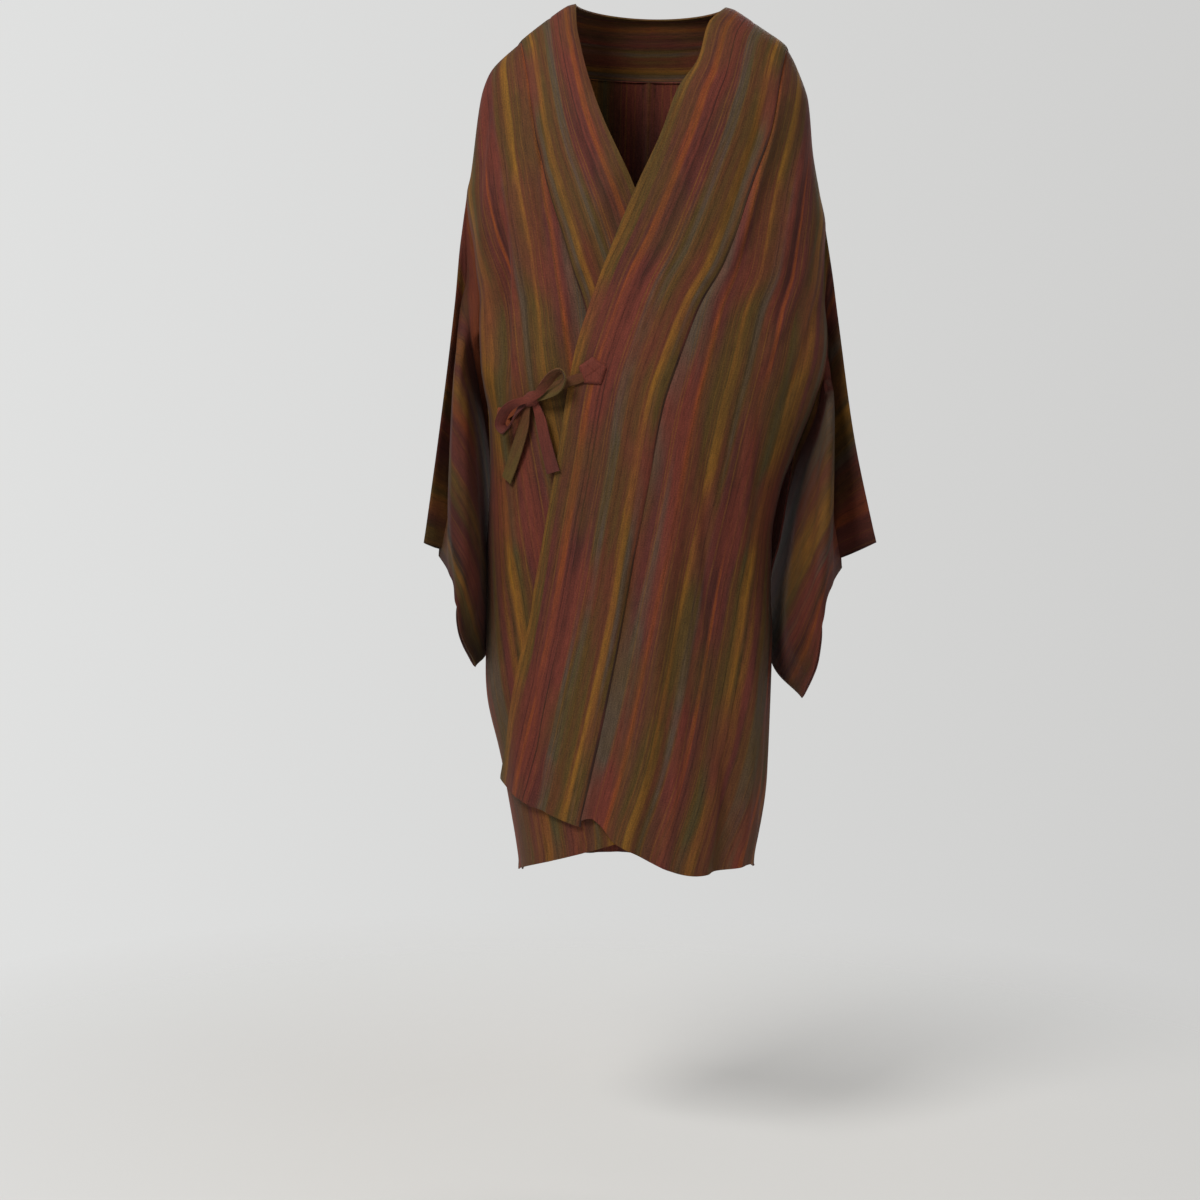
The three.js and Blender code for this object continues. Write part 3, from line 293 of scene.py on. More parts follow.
class WornForm:
    """The worn shape that every sheet of the body and the collar lies on."""

    def __init__(self) -> None:
        """Prepare the curves of width, depth, seams and edges."""
        self.width = {
            Face.FRONT: (Curve(LEFT_WIDTH, 1), Curve(RIGHT_WIDTH, 1)),
            Face.BACK: (Curve(LEFT_WIDTH, 2), Curve(RIGHT_WIDTH, 2)),
        }
        self.depth = {Face.FRONT: Curve(DEPTH, 1), Face.BACK: Curve(DEPTH, 2)}
        self.cut = {
            Side.LEFT: SideCut(
                Side.LEFT, Curve(LEFT_SEAM, 1), Curve(LEFT_EDGE, 1), top=-203, end=-400, vent=-605,
                before=8, behind=44, seam_hem=-880, edge_hem=-841, hem=-942),
            Side.RIGHT: SideCut(
                Side.RIGHT, Curve(RIGHT_SEAM, 1), Curve(RIGHT_EDGE, 1), top=-175, end=-330, vent=-424,
                before=8, behind=40, seam_hem=-876, edge_hem=-842, hem=-952),
        }

    def width_at(self, face: Face, x: Array, z: Array) -> Array:
        """Half width of a face at a height, on the side where x lies."""
        left, right = self.width[face]
        return np.where(np.asarray(x) >= 0, left(z), right(z))

    def angle_of(self, face: Face, x: Array, z: Array) -> Array:
        """Angle round the form of a place given by x and z."""
        return np.arcsin(np.clip(x / self.width_at(face, x, z), -1.0, 1.0))

    def point(self, face: Face, angle: Array, z: Array, lift: Array = 0.0, under: Array = 0.0,
              fine: bool = True) -> Array:
        """Places on the form.

        Args:
            face: front or back.
            angle: angle from the middle.
            z: height.
            lift: extra height off the form.
            under: fall of the right front beneath the left one, at most 0.
            fine: whether the finer creases are laid on too.

        Returns:
            Points in millimetres, one row of three for each place.
        """
        angle, z = np.broadcast_arrays(np.asarray(angle, float), np.asarray(z, float))
        width = self.width_at(face, angle, z)
        x = width * np.sin(angle)
        large = FRONT_CREASES if face is Face.FRONT else BACK_CREASES
        small = FRONT_FINE if face is Face.FRONT else BACK_FINE
        laid = large + (small if fine else ())
        free = 1.0 - smooth(-np.asarray(under) / 2.0)
        relief = sum(crease.lift(x, z) for crease in laid)
        rise = lift + under + free * relief + (1.0 - free) * np.minimum(relief, 0.0)
        out = -1.0 if face is Face.FRONT else 1.0
        deep = self.depth[face](z)
        return np.stack([(width + rise) * np.sin(angle), out * (deep + rise) * np.cos(angle),
                         np.broadcast_to(z, angle.shape)], axis=-1)

    def underlap(self, side: Side, x: Array, z: Array) -> Array:
        """How far the right front goes under the left one."""
        if side is not Side.RIGHT:
            return np.zeros(np.broadcast(x, z).shape)
        edge = self.cut[Side.LEFT].edge(np.clip(z, -838, 42))
        over = np.where(z > -100, (-100 - z) / 60 + 1, 1.0)
        return -UNDERLAP * smooth((x - edge + 34) / 30) * smooth(over)

    def out(self, x: float, z: float) -> Vector:
        """Direction out of the front at a place."""
        spot = self.point(Face.FRONT, self.angle_of(Face.FRONT, x, z), z, fine=False)
        w, d = float(self.width_at(Face.FRONT, x, z)), float(self.depth[Face.FRONT](z))
        return Vector((spot[0] / w ** 2, spot[1] / d ** 2, 0.0)).normalized()

    def on_front(self, x: float, z: float, height: float) -> Vector:
        """A place seen at x and z, at a height off the front."""
        foot = x
        for _ in range(3):
            foot = x - height * self.out(foot, z).x
        spot = self.point(Face.FRONT, self.angle_of(Face.FRONT, foot, z), z, fine=False)
        return Vector(spot.tolist()) + self.out(foot, z) * height


FORM = WornForm()


# ---------------------------------------------------------------- finishes
class Dye(Enum):
    """The dyed yarns, as display colours; DARK also stands for painted shade in the collar's seam line."""

    BRICK = "743629"
    RUST = "86421F"
    ORANGE = "8E461F"
    GOLD = "83561E"
    BRIGHT = "92631F"
    OLIVE = "5A431C"
    KHAKI = "624D24"
    BROWN = "62371F"
    SLATE = "5A493A"
    GREEN = "56492A"
    PLUM = "5E2E27"
    MAROON = "4C241D"
    DARK = "36211A"

    def linear(self) -> tuple:
        """The dye in linear light, with full alpha."""
        parts = [int(self.value[i:i + 2], 16) / 255 for i in (0, 2, 4)]
        return tuple((c / 12.92 if c <= 0.04045 else ((c + 0.055) / 1.055) ** 2.4) for c in parts) + (1.0,)


@dataclass(frozen=True)
class Stripe:
    """A warp stripe: where its middle lies, its two dyes along the warp and where they change."""

    at: float
    dye: Dye
    second: Dye
    phase: float


def chart(text: str) -> tuple:
    """Read a chart of stripes: place, two dyes and phase of each, with commas between them."""
    rows = (part.split() for part in text.split(","))
    return tuple(Stripe(float(at), Dye[first.upper()], Dye[second.upper()], float(phase))
                 for at, first, second, phase in rows)


BODY_STRIPES = chart(
    "0 brown slate 0.1, 12 plum slate 0.2, 22 brick slate 0.55, 30 brick plum 0.3, 36 orange rust 0.6, "
    "40 brown plum 0.4, 54 brown olive 0, 61 olive brown 0.7, 65 bright gold 0.2, 70 gold olive 0.35, "
    "76 brown olive 0.5, 84 olive slate 0.15, 92 brick plum 0.8, 104 brick maroon 0.45, "
    "109 orange brick 0.9, 113 brick plum 0.25, 124 plum brown 0.1, 130 olive brown 0.65, "
    "138 green olive 0.3, 144 olive gold 0.5, 149 bright gold 0, 154 gold olive 0.4, "
    "162 gold brown 0.75, 172 brown plum 0.2, 181 brown olive 0.6"
)
# The dark stripe from 0 to 1.6 lies on the collar seam: it is painted shade of the seam's groove, not a dyed
# yarn.
COLLAR_STRIPES = chart(
    "0 dark dark 0, 1.6 dark dark 0, 3 olive brown 0.1, 10 olive slate 0.4, 15 gold olive 0, "
    "19 bright gold 0.2, 23 gold brown 0.6, 28 olive brown 0.3, 40 brown olive 0.7, "
    "46 green slate 0.2, 52 slate olive 0.5, 57 slate plum 0.15, 61 brick plum 0, "
    "73.6 brick maroon 0.4, 75 dark maroon 0, 76.4 brick plum 0.4, 82 plum brick 0.8, "
    "87 brick rust 0.3, 90 orange rust 0.1, 93 rust plum 0.6, 98 plum brown 0.25, 105 brown plum 0.5, "
    "109 olive brown 0, 114 gold olive 0.35, 120 olive gold 0.7, 126 khaki olive 0.1, "
    "135 olive brown 0.2"
)
LEFT_SLEEVE_STRIPES = chart(
    "0 olive khaki 0, 22 gold olive 0.3, 40 brick maroon 0.1, 66 maroon plum 0.4, 84 rust brick 0.6, "
    "92 brick plum 0.2, 116 maroon slate 0.5, 140 brown slate 0.8, 158 olive brown 0.1, "
    "182 olive gold 0.3, 196 gold olive 0, 206 bright gold 0.5, 216 gold olive 0.2, "
    "230 olive brown 0.6, 244 slate plum 0.3, 254 plum slate 0.7, 262 brick plum 0.1, "
    "292 brick maroon 0.4, 312 orange rust 0.2, 318 brick maroon 0, 350 maroon brick 0.5"
)
RIGHT_SLEEVE_STRIPES = chart(
    "0 rust orange 0.2, 26 brick rust 0.5, 44 plum brick 0.1, 70 brick plum 0.7, 86 gold olive 0.3, "
    "98 gold rust 0, 112 brown plum 0.4, 130 rust gold 0.6, 144 rust brick 0.2, 160 plum maroon 0.5, "
    "182 plum brown 0.1, 198 gold olive 0.8, 212 olive brown 0.3, 226 maroon brick 0, "
    "256 plum maroon 0.4, 276 brown dark 0.6, 294 gold olive 0.1, 306 gold khaki 0.5, "
    "324 olive dark 0.2, 350 olive maroon 0.7"
)


class Nodes:
    """Short ways to add and join shader nodes in one tree."""

    def __init__(self, tree: bpy.types.NodeTree) -> None:
        """Work on one node tree."""
        self.tree = tree

    def add(self, kind: str, **values: object) -> bpy.types.Node:
        """Add a node and set its plain properties."""
        node = self.tree.nodes.new(kind)
        for name, value in values.items():
            setattr(node, name, value)
        return node

    def feed(self, socket: bpy.types.NodeSocket, value: object) -> None:
        """Join a socket to another one, or set its value."""
        if isinstance(value, bpy.types.NodeSocket):
            self.tree.links.new(value, socket)
        else:
            socket.default_value = value

    def math(self, operation: str, *values: object, clamp: bool = False) -> bpy.types.NodeSocket:
        """A Math node's result."""
        node = self.add("ShaderNodeMath", operation=operation, use_clamp=clamp)
        for socket, value in zip(node.inputs, values):
            self.feed(socket, value)
        return node.outputs[0]

    def mix(self, factor: object, a: object, b: object, blend: str = "MIX") -> bpy.types.NodeSocket:
        """A colour mix."""
        node = self.add("ShaderNodeMix", data_type="RGBA", blend_type=blend)
        self.feed(node.inputs[0], factor)
        self.feed(node.inputs[6], a)
        self.feed(node.inputs[7], b)
        return node.outputs[2]

    def vector(self, x: object, y: object, z: object = 0.0) -> bpy.types.NodeSocket:
        """A vector from three values."""
        node = self.add("ShaderNodeCombineXYZ")
        for socket, value in zip(node.inputs, (x, y, z)):
            self.feed(socket, value)
        return node.outputs[0]

    def noise(self, cloth: tuple, per_metre: tuple, detail: float = 2.0,
              shift: float = 0.0) -> bpy.types.NodeSocket:
        """Soft noise around one half, on the cloth.

        Args:
            cloth: the sockets Across and Along, in metres.
            per_metre: how often the noise changes in each direction.
            detail: finer and finer layers of it.
            shift: another place in the noise.

        Returns:
            The noise.
        """
        across, along = (self.math("MULTIPLY", axis, often) for axis, often in zip(cloth, per_metre))
        node = self.add("ShaderNodeTexNoise")
        self.feed(node.inputs["Vector"], self.vector(across, along, shift))
        node.inputs["Scale"].default_value = 1.0
        node.inputs["Detail"].default_value = detail
        return node.outputs["Fac"]

    def over(self, high: object, low: object, gain: float) -> bpy.types.NodeSocket:
        """How far one value is over another, times a gain, from 0 to 1."""
        return self.math("MULTIPLY", self.math("SUBTRACT", high, low, clamp=True), gain, clamp=True)

    def group(self, tree: bpy.types.NodeTree, **values: object) -> bpy.types.Node:
        """A shared group, with its inputs fed by name."""
        node = self.add("ShaderNodeGroup", node_tree=tree)
        for name, value in values.items():
            self.feed(node.inputs[name], value)
        return node

    def ramp(self, factor: object, stops: list) -> bpy.types.NodeSocket:
        """A colour ramp with eased steps between (place, colour) stops."""
        node = self.add("ShaderNodeValToRGB")
        ramp = node.color_ramp
        ramp.interpolation = "EASE"
        while len(ramp.elements) < len(stops):
            ramp.elements.new(0.5)
        for element, (place, colour) in zip(ramp.elements, sorted(stops, key=lambda stop: stop[0])):
            element.position = place
            element.color = colour
        self.feed(node.inputs[0], factor)
        return node.outputs[0]


def new_group(name: str, takes: tuple, gives: tuple) -> tuple:
    """A new node group of plain values.

    Args:
        name: its name.
        takes: names of the inputs.
        gives: names of the outputs.

    Returns:
        The group, its nodes, the sockets to read from and those to feed.
    """
    group = bpy.data.node_groups.new(name, "ShaderNodeTree")
    for way, names in (("INPUT", takes), ("OUTPUT", gives)):
        for socket in names:
            group.interface.new_socket(socket, in_out=way, socket_type="NodeSocketFloat")
    nodes = Nodes(group)
    return group, nodes, nodes.add("NodeGroupInput").outputs, nodes.add("NodeGroupOutput").inputs


def new_material(name: str) -> tuple:
    """A new material, its nodes and its shader."""
    material = bpy.data.materials.new(name)
    material.use_nodes = True
    return material, Nodes(material.node_tree), material.node_tree.nodes["Principled BSDF"]


# How often each part of the silk changes, across and along, per metre; for twill and pick in radians.
SLUB = (700.0, 60.0)
GRAIN = (820.0, 620.0)
TWILL = (3400.0, 2700.0)
PICK = (700.0, 4300.0)
BLUR = (60.0, 5.0)
SWAY = (9.0, 4.0)
PATCH = (17.0, 6.5)
HAIRLINE = (310.0, 0.9)
DARK_LINE = (230.0, 0.6)
TIE_TONE = (160.0, 22.0)
# Where in its noise each change of dye begins, and how fast it comes.
OLIVE_PATCH = (0.50, 3.0)
BRICK_PATCH = (0.50, 4.0)
GOLD_HAIR = (0.56, 3.4)
DARK_THREAD = (0.54, 2.0)


def crepe_weave() -> bpy.types.NodeTree:
    """The small weave of the silk, shared by every finish.

    Returns:
        A node group from Across and Along (metres) and Relief to Shade and Height.
    """
    group, n, read, fed = new_group("crepe_weave", ("Across", "Along", "Relief"), ("Shade", "Height"))
    across, along = cloth = (read["Across"], read["Along"])
    slub, grain = n.noise(cloth, SLUB, 3.0), n.noise(cloth, GRAIN, 1.0)
    twill = n.math("SINE", n.math("ADD", n.math("MULTIPLY", across, TWILL[0]),
                                  n.math("MULTIPLY", along, TWILL[1])))
    pick = n.math("SINE", n.math("SUBTRACT", n.math("MULTIPLY", along, PICK[1]),
                                 n.math("MULTIPLY", across, PICK[0])))
    cell = n.math("MULTIPLY", twill, pick)
    mixed = n.math("ADD", n.math("MULTIPLY_ADD", slub, 1.0, -0.15), n.math("MULTIPLY_ADD", grain, 1.1, -0.2))
    n.feed(fed["Shade"], n.math("ADD", mixed, n.math("MULTIPLY", cell, 0.13)))
    relief = n.math("ADD", n.math("MULTIPLY", cell, 0.35), n.math("MULTIPLY", grain, 0.9))
    n.feed(fed["Height"], n.math("MULTIPLY", relief, read["Relief"]))
    return group


def dye_drift() -> bpy.types.NodeTree:
    """The slow change of each warp stripe from one dye to the other.

    Returns:
        A node group from Across, Along, Phase and Period to Mix.
    """
    group, n, read, fed = new_group("dye_drift", ("Across", "Along", "Phase", "Period"), ("Mix",))
    turn = n.math("ADD", n.math("DIVIDE", read["Along"], read["Period"]), read["Phase"])
    blur = n.noise((read["Across"], read["Along"]), BLUR)
    wave = n.math("SINE", n.math("MULTIPLY", n.math("ADD", turn, n.math("MULTIPLY", blur, 0.5)), 2 * math.pi))
    n.feed(fed["Mix"], n.math("MULTIPLY_ADD", wave, 0.62, 0.5, clamp=True))
    return group


class OpenSilk:
    """A new material on the sheet's own UV map, in metres."""

    def __init__(self, name: str) -> None:
        """Make the material and read the cloth's two directions."""
        self.material, self.nodes, self.shader = new_material(name)
        parts = self.nodes.add("ShaderNodeSeparateXYZ")
        self.nodes.feed(parts.inputs[0], self.nodes.add("ShaderNodeUVMap", uv_map="cloth").outputs[0])
        self.cloth = (parts.outputs[0], parts.outputs[1])


@dataclass(frozen=True)
class SilkHand:
    """How a silk takes the light: grain, roughness, relief and sheen."""

    relief: float
    grain: float
    ground: float
    swing: float
    rough: float
    depth: float
    sheen: float
    sheen_rough: float
    specular: float = 0.22
    bump: float = 0.5

    def dress(self, silk: OpenSilk, weave: bpy.types.NodeTree, dyed: object, tone: float,
              dark: object = 0.0) -> None:
        """Lay the weave on a dyed cloth and feed the shader.

        Args:
            silk: the material in the making.
            weave: the shared weave group.
            dyed: the colour before the weave.
            tone: how light the cloth is.
            dark: what is taken off its lightness.
        """
        n, shader = silk.nodes, silk.shader
        threads = n.group(weave, Across=silk.cloth[0], Along=silk.cloth[1], Relief=self.relief)
        woven = threads.outputs["Shade"]
        shade = n.math("SUBTRACT", n.math("MULTIPLY_ADD", woven, self.grain * tone, self.ground * tone), dark)
        grey = n.add("ShaderNodeCombineColor")
        for socket in grey.inputs[:3]:
            n.feed(socket, shade)
        n.feed(shader.inputs["Base Color"], n.mix(1.0, dyed, grey.outputs[0], "MULTIPLY"))
        n.feed(shader.inputs["Roughness"], n.math("MULTIPLY_ADD", woven, self.swing, self.rough))
        bump = n.add("ShaderNodeBump")
        bump.inputs["Strength"].default_value = self.bump
        bump.inputs["Distance"].default_value = self.depth
        n.feed(bump.inputs["Height"], threads.outputs["Height"])
        n.feed(shader.inputs["Normal"], bump.outputs[0])
        shader.inputs["Sheen Weight"].default_value = self.sheen
        shader.inputs["Sheen Roughness"].default_value = self.sheen_rough
        shader.inputs["Specular IOR Level"].default_value = self.specular


COAT_HAND = SilkHand(relief=1.0, grain=1.1, ground=0.26, swing=0.10, rough=0.62, depth=0.0005,
                     sheen=0.05, sheen_rough=0.45)
TIE_HAND = SilkHand(relief=1.2, grain=0.9, ground=0.38, swing=0.12, rough=0.6, depth=0.0004,
                    sheen=0.06, sheen_rough=0.5)


@dataclass(frozen=True)
class StripedSilk:
    """Warp-striped silk whose stripes change dye along the cloth."""

    name: str
    stripes: tuple
    period: float
    repeats: bool = True
    tone: float = 1.0
    drift: float = 0.42
    sway: float = 0.006

    def material(self, weave: bpy.types.NodeTree, drift: bpy.types.NodeTree) -> bpy.types.Material:
        """Build the material.

        Args:
            weave: the shared weave group.
            drift: the shared dye group.

        Returns:
            The new material.
        """
        silk = OpenSilk(self.name)
        n, cloth = silk.nodes, silk.cloth
        sway = n.math("SUBTRACT", n.noise(cloth, SWAY, 1.0), 0.5)
        moved = n.math("ADD", cloth[0], n.math("MULTIPLY", sway, self.sway))
        share = n.math("DIVIDE", moved, self.period / 1000)
        share = n.math("FRACT", share) if self.repeats else n.math("ADD", share, 0.0, clamp=True)
        stops = [(stripe.at / self.period, stripe) for stripe in self.stripes if stripe.at <= self.period]
        if self.repeats:
            stops.append((1.0, self.stripes[0]))
        first = n.ramp(share, [(at, stripe.dye.linear()) for at, stripe in stops])
        second = n.ramp(share, [(at, stripe.second.linear()) for at, stripe in stops])
        phase = n.ramp(share, [(at, (stripe.phase,) * 3 + (1.0,)) for at, stripe in stops])
        change = n.group(drift, Across=cloth[0], Along=cloth[1], Phase=phase, Period=self.drift)
        dyed = n.mix(change.outputs[0], first, second)
        patch, hair = n.noise(cloth, PATCH, shift=3.0), n.noise(cloth, HAIRLINE, shift=7.0)
        for high, low, gain, dye in (
                (patch, *OLIVE_PATCH, Dye.OLIVE), (BRICK_PATCH[0], patch, BRICK_PATCH[1], Dye.BRICK),
                (hair, *GOLD_HAIR, Dye.GOLD)):
            dyed = n.mix(n.over(high, low, gain), dyed, dye.linear())
        COAT_HAND.dress(silk, weave, dyed, self.tone, n.over(n.noise(cloth, DARK_LINE, 3.0), *DARK_THREAD))
        return silk.material


@dataclass(frozen=True)
class TieSilk:
    """The silk of one sewn tie, from one dye to another along its length."""

    name: str
    start: Dye
    end: Dye
    tone: float = 1.0
    change: float = 11.0

    def material(self, weave: bpy.types.NodeTree) -> bpy.types.Material:
        """Build the material."""
        silk = OpenSilk(self.name)
        n = silk.nodes
        soft = n.math("SUBTRACT", n.noise(silk.cloth, TIE_TONE), 0.5)
        far = n.math("ADD", n.math("MULTIPLY", silk.cloth[1], self.change), soft, clamp=True)
        TIE_HAND.dress(silk, weave, n.mix(far, self.start.linear(), self.end.linear()), self.tone)
        return silk.material


# ---------------------------------------------------------------- cloth sheets as meshes
class ClothSheet:
    """A sheet of cloth made from grids of points, then given its thickness."""

    def __init__(self, name: str) -> None:
        """Start an empty sheet."""
        self.name = name
        self.points: list = []
        self.uvs: list = []
        self.heavy: list = []
        self.faces: list = []

    def grid(self, points: Array, uv: Array, heavy: Array, turned: bool) -> None:
        """Add a grid of points (rows, columns, 3) in millimetres.

        Args:
            points: the places.
            uv: cloth coordinates in millimetres, (rows, columns, 2).
            heavy: 0 to 1, how much the cloth is doubled at each point.
            turned: whether the faces are wound the other way.
        """
        base = len(self.points)
        rows, columns = points.shape[:2]
        self.points.extend((points.reshape(-1, 3) * 0.001).tolist())
        self.uvs.extend((uv.reshape(-1, 2) * 0.001).tolist())
        self.heavy.extend(np.broadcast_to(heavy, (rows, columns)).reshape(-1).tolist())
        for r in range(rows - 1):
            for c in range(columns - 1):
                a = base + r * columns + c
                face = (a, a + 1, a + columns + 1, a + columns)
                self.faces.append(face[::-1] if turned else face)

    def build(self, thickness: float, light: float, material: bpy.types.Material, merge: float = 1e-4,
              smooth_angle: float = 60.0) -> bpy.types.Object:
        """Make the object: merge the borders that meet, thicken the cloth and dress it.

        Args:
            thickness: wall of the doubled cloth in metres.
            light: share of it that the single cloth has.
            material: the finish.
            merge: distance under which points become one, in metres.
            smooth_angle: degrees up to which edges are shaded smooth.

        Returns:
            The finished object.
        """
        mesh = bpy.data.meshes.new(self.name)
        mesh.from_pydata(self.points, [], self.faces)
        layer = mesh.uv_layers.new(name="cloth")
        corner = np.empty(len(mesh.loops), dtype=np.int64)
        mesh.loops.foreach_get("vertex_index", corner)
        layer.data.foreach_set("uv", np.array(self.uvs)[corner].reshape(-1))
        obj = bpy.data.objects.new(self.name, mesh)
        bpy.context.collection.objects.link(obj)
        group = obj.vertex_groups.new(name="doubled")
        for index, weight in enumerate(self.heavy):
            if weight > 0.001:
                group.add([index], float(min(weight, 1.0)), "REPLACE")
        work = bmesh.new()
        work.from_mesh(mesh)
        bmesh.ops.remove_doubles(work, verts=work.verts, dist=merge)
        bmesh.ops.dissolve_degenerate(work, edges=work.edges, dist=1e-6)
        work.to_mesh(mesh)
        work.free()
        wall = obj.modifiers.new("wall", "SOLIDIFY")
        wall.thickness = thickness
        wall.offset = 0.0
        wall.use_even_offset = False
        wall.vertex_group = "doubled"
        wall.thickness_vertex_group = light
        apply_modifiers(obj)
        obj.data.materials.append(material)
        shade(obj, smooth_angle)
        return obj


def select_only(obj: bpy.types.Object) -> None:
    """Deselect everything and make one object active."""
    bpy.ops.object.select_all(action="DESELECT")
    obj.select_set(True)
    bpy.context.view_layer.objects.active = obj


def apply_modifiers(obj: bpy.types.Object) -> None:
    """Apply an object's modifiers in order."""
    select_only(obj)
    for modifier in list(obj.modifiers):
        bpy.ops.object.modifier_apply(modifier=modifier.name)


def shade(obj: bpy.types.Object, angle: float) -> None:
    """Shade smooth up to an angle in degrees."""
    select_only(obj)
    bpy.ops.object.shade_smooth_by_angle(angle=math.radians(angle))


# ---------------------------------------------------------------- body panels
@dataclass
class BodyPanel:
    """One half of the coat's body: front and back in one length, open below the sleeve."""

    side: Side
    front_columns: int = 60
    back_columns: int = 42
    row_step: float = 5.0
    seam_dip: float = 2.2
    wall: float = 0.0019
    light: float = 0.62

    def heights(self) -> Array:
        """Heights of the rows at the side, with the armhole's and the vent's ends among them."""
        cut = FORM.cut[self.side]
        marks = [SHOULDER_Z, -5.0, -7.0, -60.0, cut.top, cut.top - 3, cut.end, cut.vent + 3,
                 cut.vent, cut.hem]
        rows = [SHOULDER_Z]
        for a, b in zip(marks, marks[1:]):
            count = max(1, round((a - b) / self.row_step))
            rows.extend(np.linspace(a, b, count + 1)[1:].tolist())
        return np.array(rows)

    def doubled(self, across: Array, above_hem: Array) -> Array:
        """Where the cloth is doubled, 0 to 1: along the hem and the open side edges."""
        slit = (FORM.cut[self.side].openness(self.heights()) > 0)[:, None]
        edge = np.where(slit, bell((across[:, -1:] - across) / EDGE_TURN), 0.0)
        return np.maximum(np.broadcast_to(bell(above_hem / HEM_TURN), across.shape), edge)

    def front(self) -> tuple:
        """Points and cloth coordinates of the front."""
        cut = FORM.cut[self.side]
        z_side = self.heights()
        share = (np.arange(self.front_columns + 1) / self.front_columns) ** 1.12
        along = cut.along(z_side)[:, None]
        z_seam = lerp(SHOULDER_Z, cut.seam_hem, along)
        start = FORM.angle_of(Face.FRONT, cut.seam(z_seam), z_seam)
        stop = self.side.value * np.arccos(cut.openness(z_side) * cut.before / FORM.depth[Face.FRONT](z_side))
        angle = lerp(start, stop[:, None], share[None, :])
        z = lerp(z_seam, z_side[:, None], share) + smooth((along - 0.86) / 0.14) * cut.hem_drop(share)
        x = FORM.width_at(Face.FRONT, angle, z) * np.sin(angle)
        plain = FORM.point(Face.FRONT, angle, z, 0.0, FORM.underlap(self.side, x, z))
        across = run_length(plain, 1)
        dip = -self.seam_dip * bell(across / 4.0)
        points = FORM.point(Face.FRONT, angle, z, dip, FORM.underlap(self.side, x, z))
        shift = STRIPE_SHIFT * smooth((z_seam + 420) / 330)
        uv = np.stack([across + shift, np.broadcast_to(-z, across.shape)], axis=-1)
        return points, uv, self.doubled(across, (1 - along) * FRONT_LENGTH)

    def back(self, side_uv: Array) -> tuple:
        """Points and cloth coordinates of the back, whose stripes meet the front's over the shoulder."""
        cut = FORM.cut[self.side]
        sign = self.side.value
        z_side = self.heights()
        t = np.interp(z_side, [-60.0, -7.0, SHOULDER_Z], [1.0, 0.6 / 5.6, 0.0])
        start = sign * (np.pi / 2) * (1 - t)
        fall = np.clip((-60.0 - z_side) / (-60.0 - cut.hem), 0, 1)
        z_in = np.where(z_side > -60.0, lerp(SHOULDER_Z, NECK_DIP, smooth(np.sqrt(t))),
                        lerp(NECK_DIP, BACK_HEM, fall))
        stop = sign * np.arccos(cut.openness(z_side) * cut.behind / FORM.depth[Face.BACK](z_side))
        share = np.linspace(0, 1, self.back_columns + 1)[None, :]
        angle = lerp(start[:, None], stop[:, None], share)
        z = lerp(z_in[:, None], z_side[:, None], share)
        plain = FORM.point(Face.BACK, angle, z)
        across = run_length(plain, 1)
        points = FORM.point(Face.BACK, angle, z, -self.seam_dip * bell(across / 4.0))
        middle = (z_side <= -60.0)
        points[middle, 0, 0] = sign * -0.15
        neck = np.abs(FORM.width_at(Face.BACK, start, z_in) * np.sin(start))[:, None]
        u = across + neck - STRIPE_LEAD
        meet = side_uv[:, None] - u[:, -1:]
        near = np.where((cut.openness(z_side) > 0)[:, None], 0.0, 1.0) * smooth((z_side[:, None] + 330) / 120)
        u = u + meet * near * smooth(1 - (across[:, -1:] - across) / 70.0)
        uv = np.stack([u, np.broadcast_to(-z, across.shape)], axis=-1)
        return points, uv, self.doubled(across, (z_side - cut.hem)[:, None])

    def build(self, material: bpy.types.Material) -> bpy.types.Object:
        """Make the panel."""
        name = f"silk_body_{self.side.name.lower()}"
        sheet = ClothSheet(name)
        points, uv, heavy = self.front()
        turned = self.side is Side.LEFT
        sheet.grid(points, uv, heavy, not turned)
        back_points, back_uv, back_heavy = self.back(uv[:, -1, 0])
        sheet.grid(back_points, back_uv, back_heavy, turned)
        obj = sheet.build(self.wall, self.light, material)
        node = f"body_{self.side.name.lower()}"
        dress(obj, node)
        return obj


def dress(obj: bpy.types.Object, node: str) -> None:
    """Make a piece ride on the coat and stand for its solid."""
    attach(obj, "root")
    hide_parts(node)
    triangles = sum(len(p.vertices) - 2 for p in obj.data.polygons)
    LOG.info("%s made for %s: %d triangles", obj.name, node, triangles)


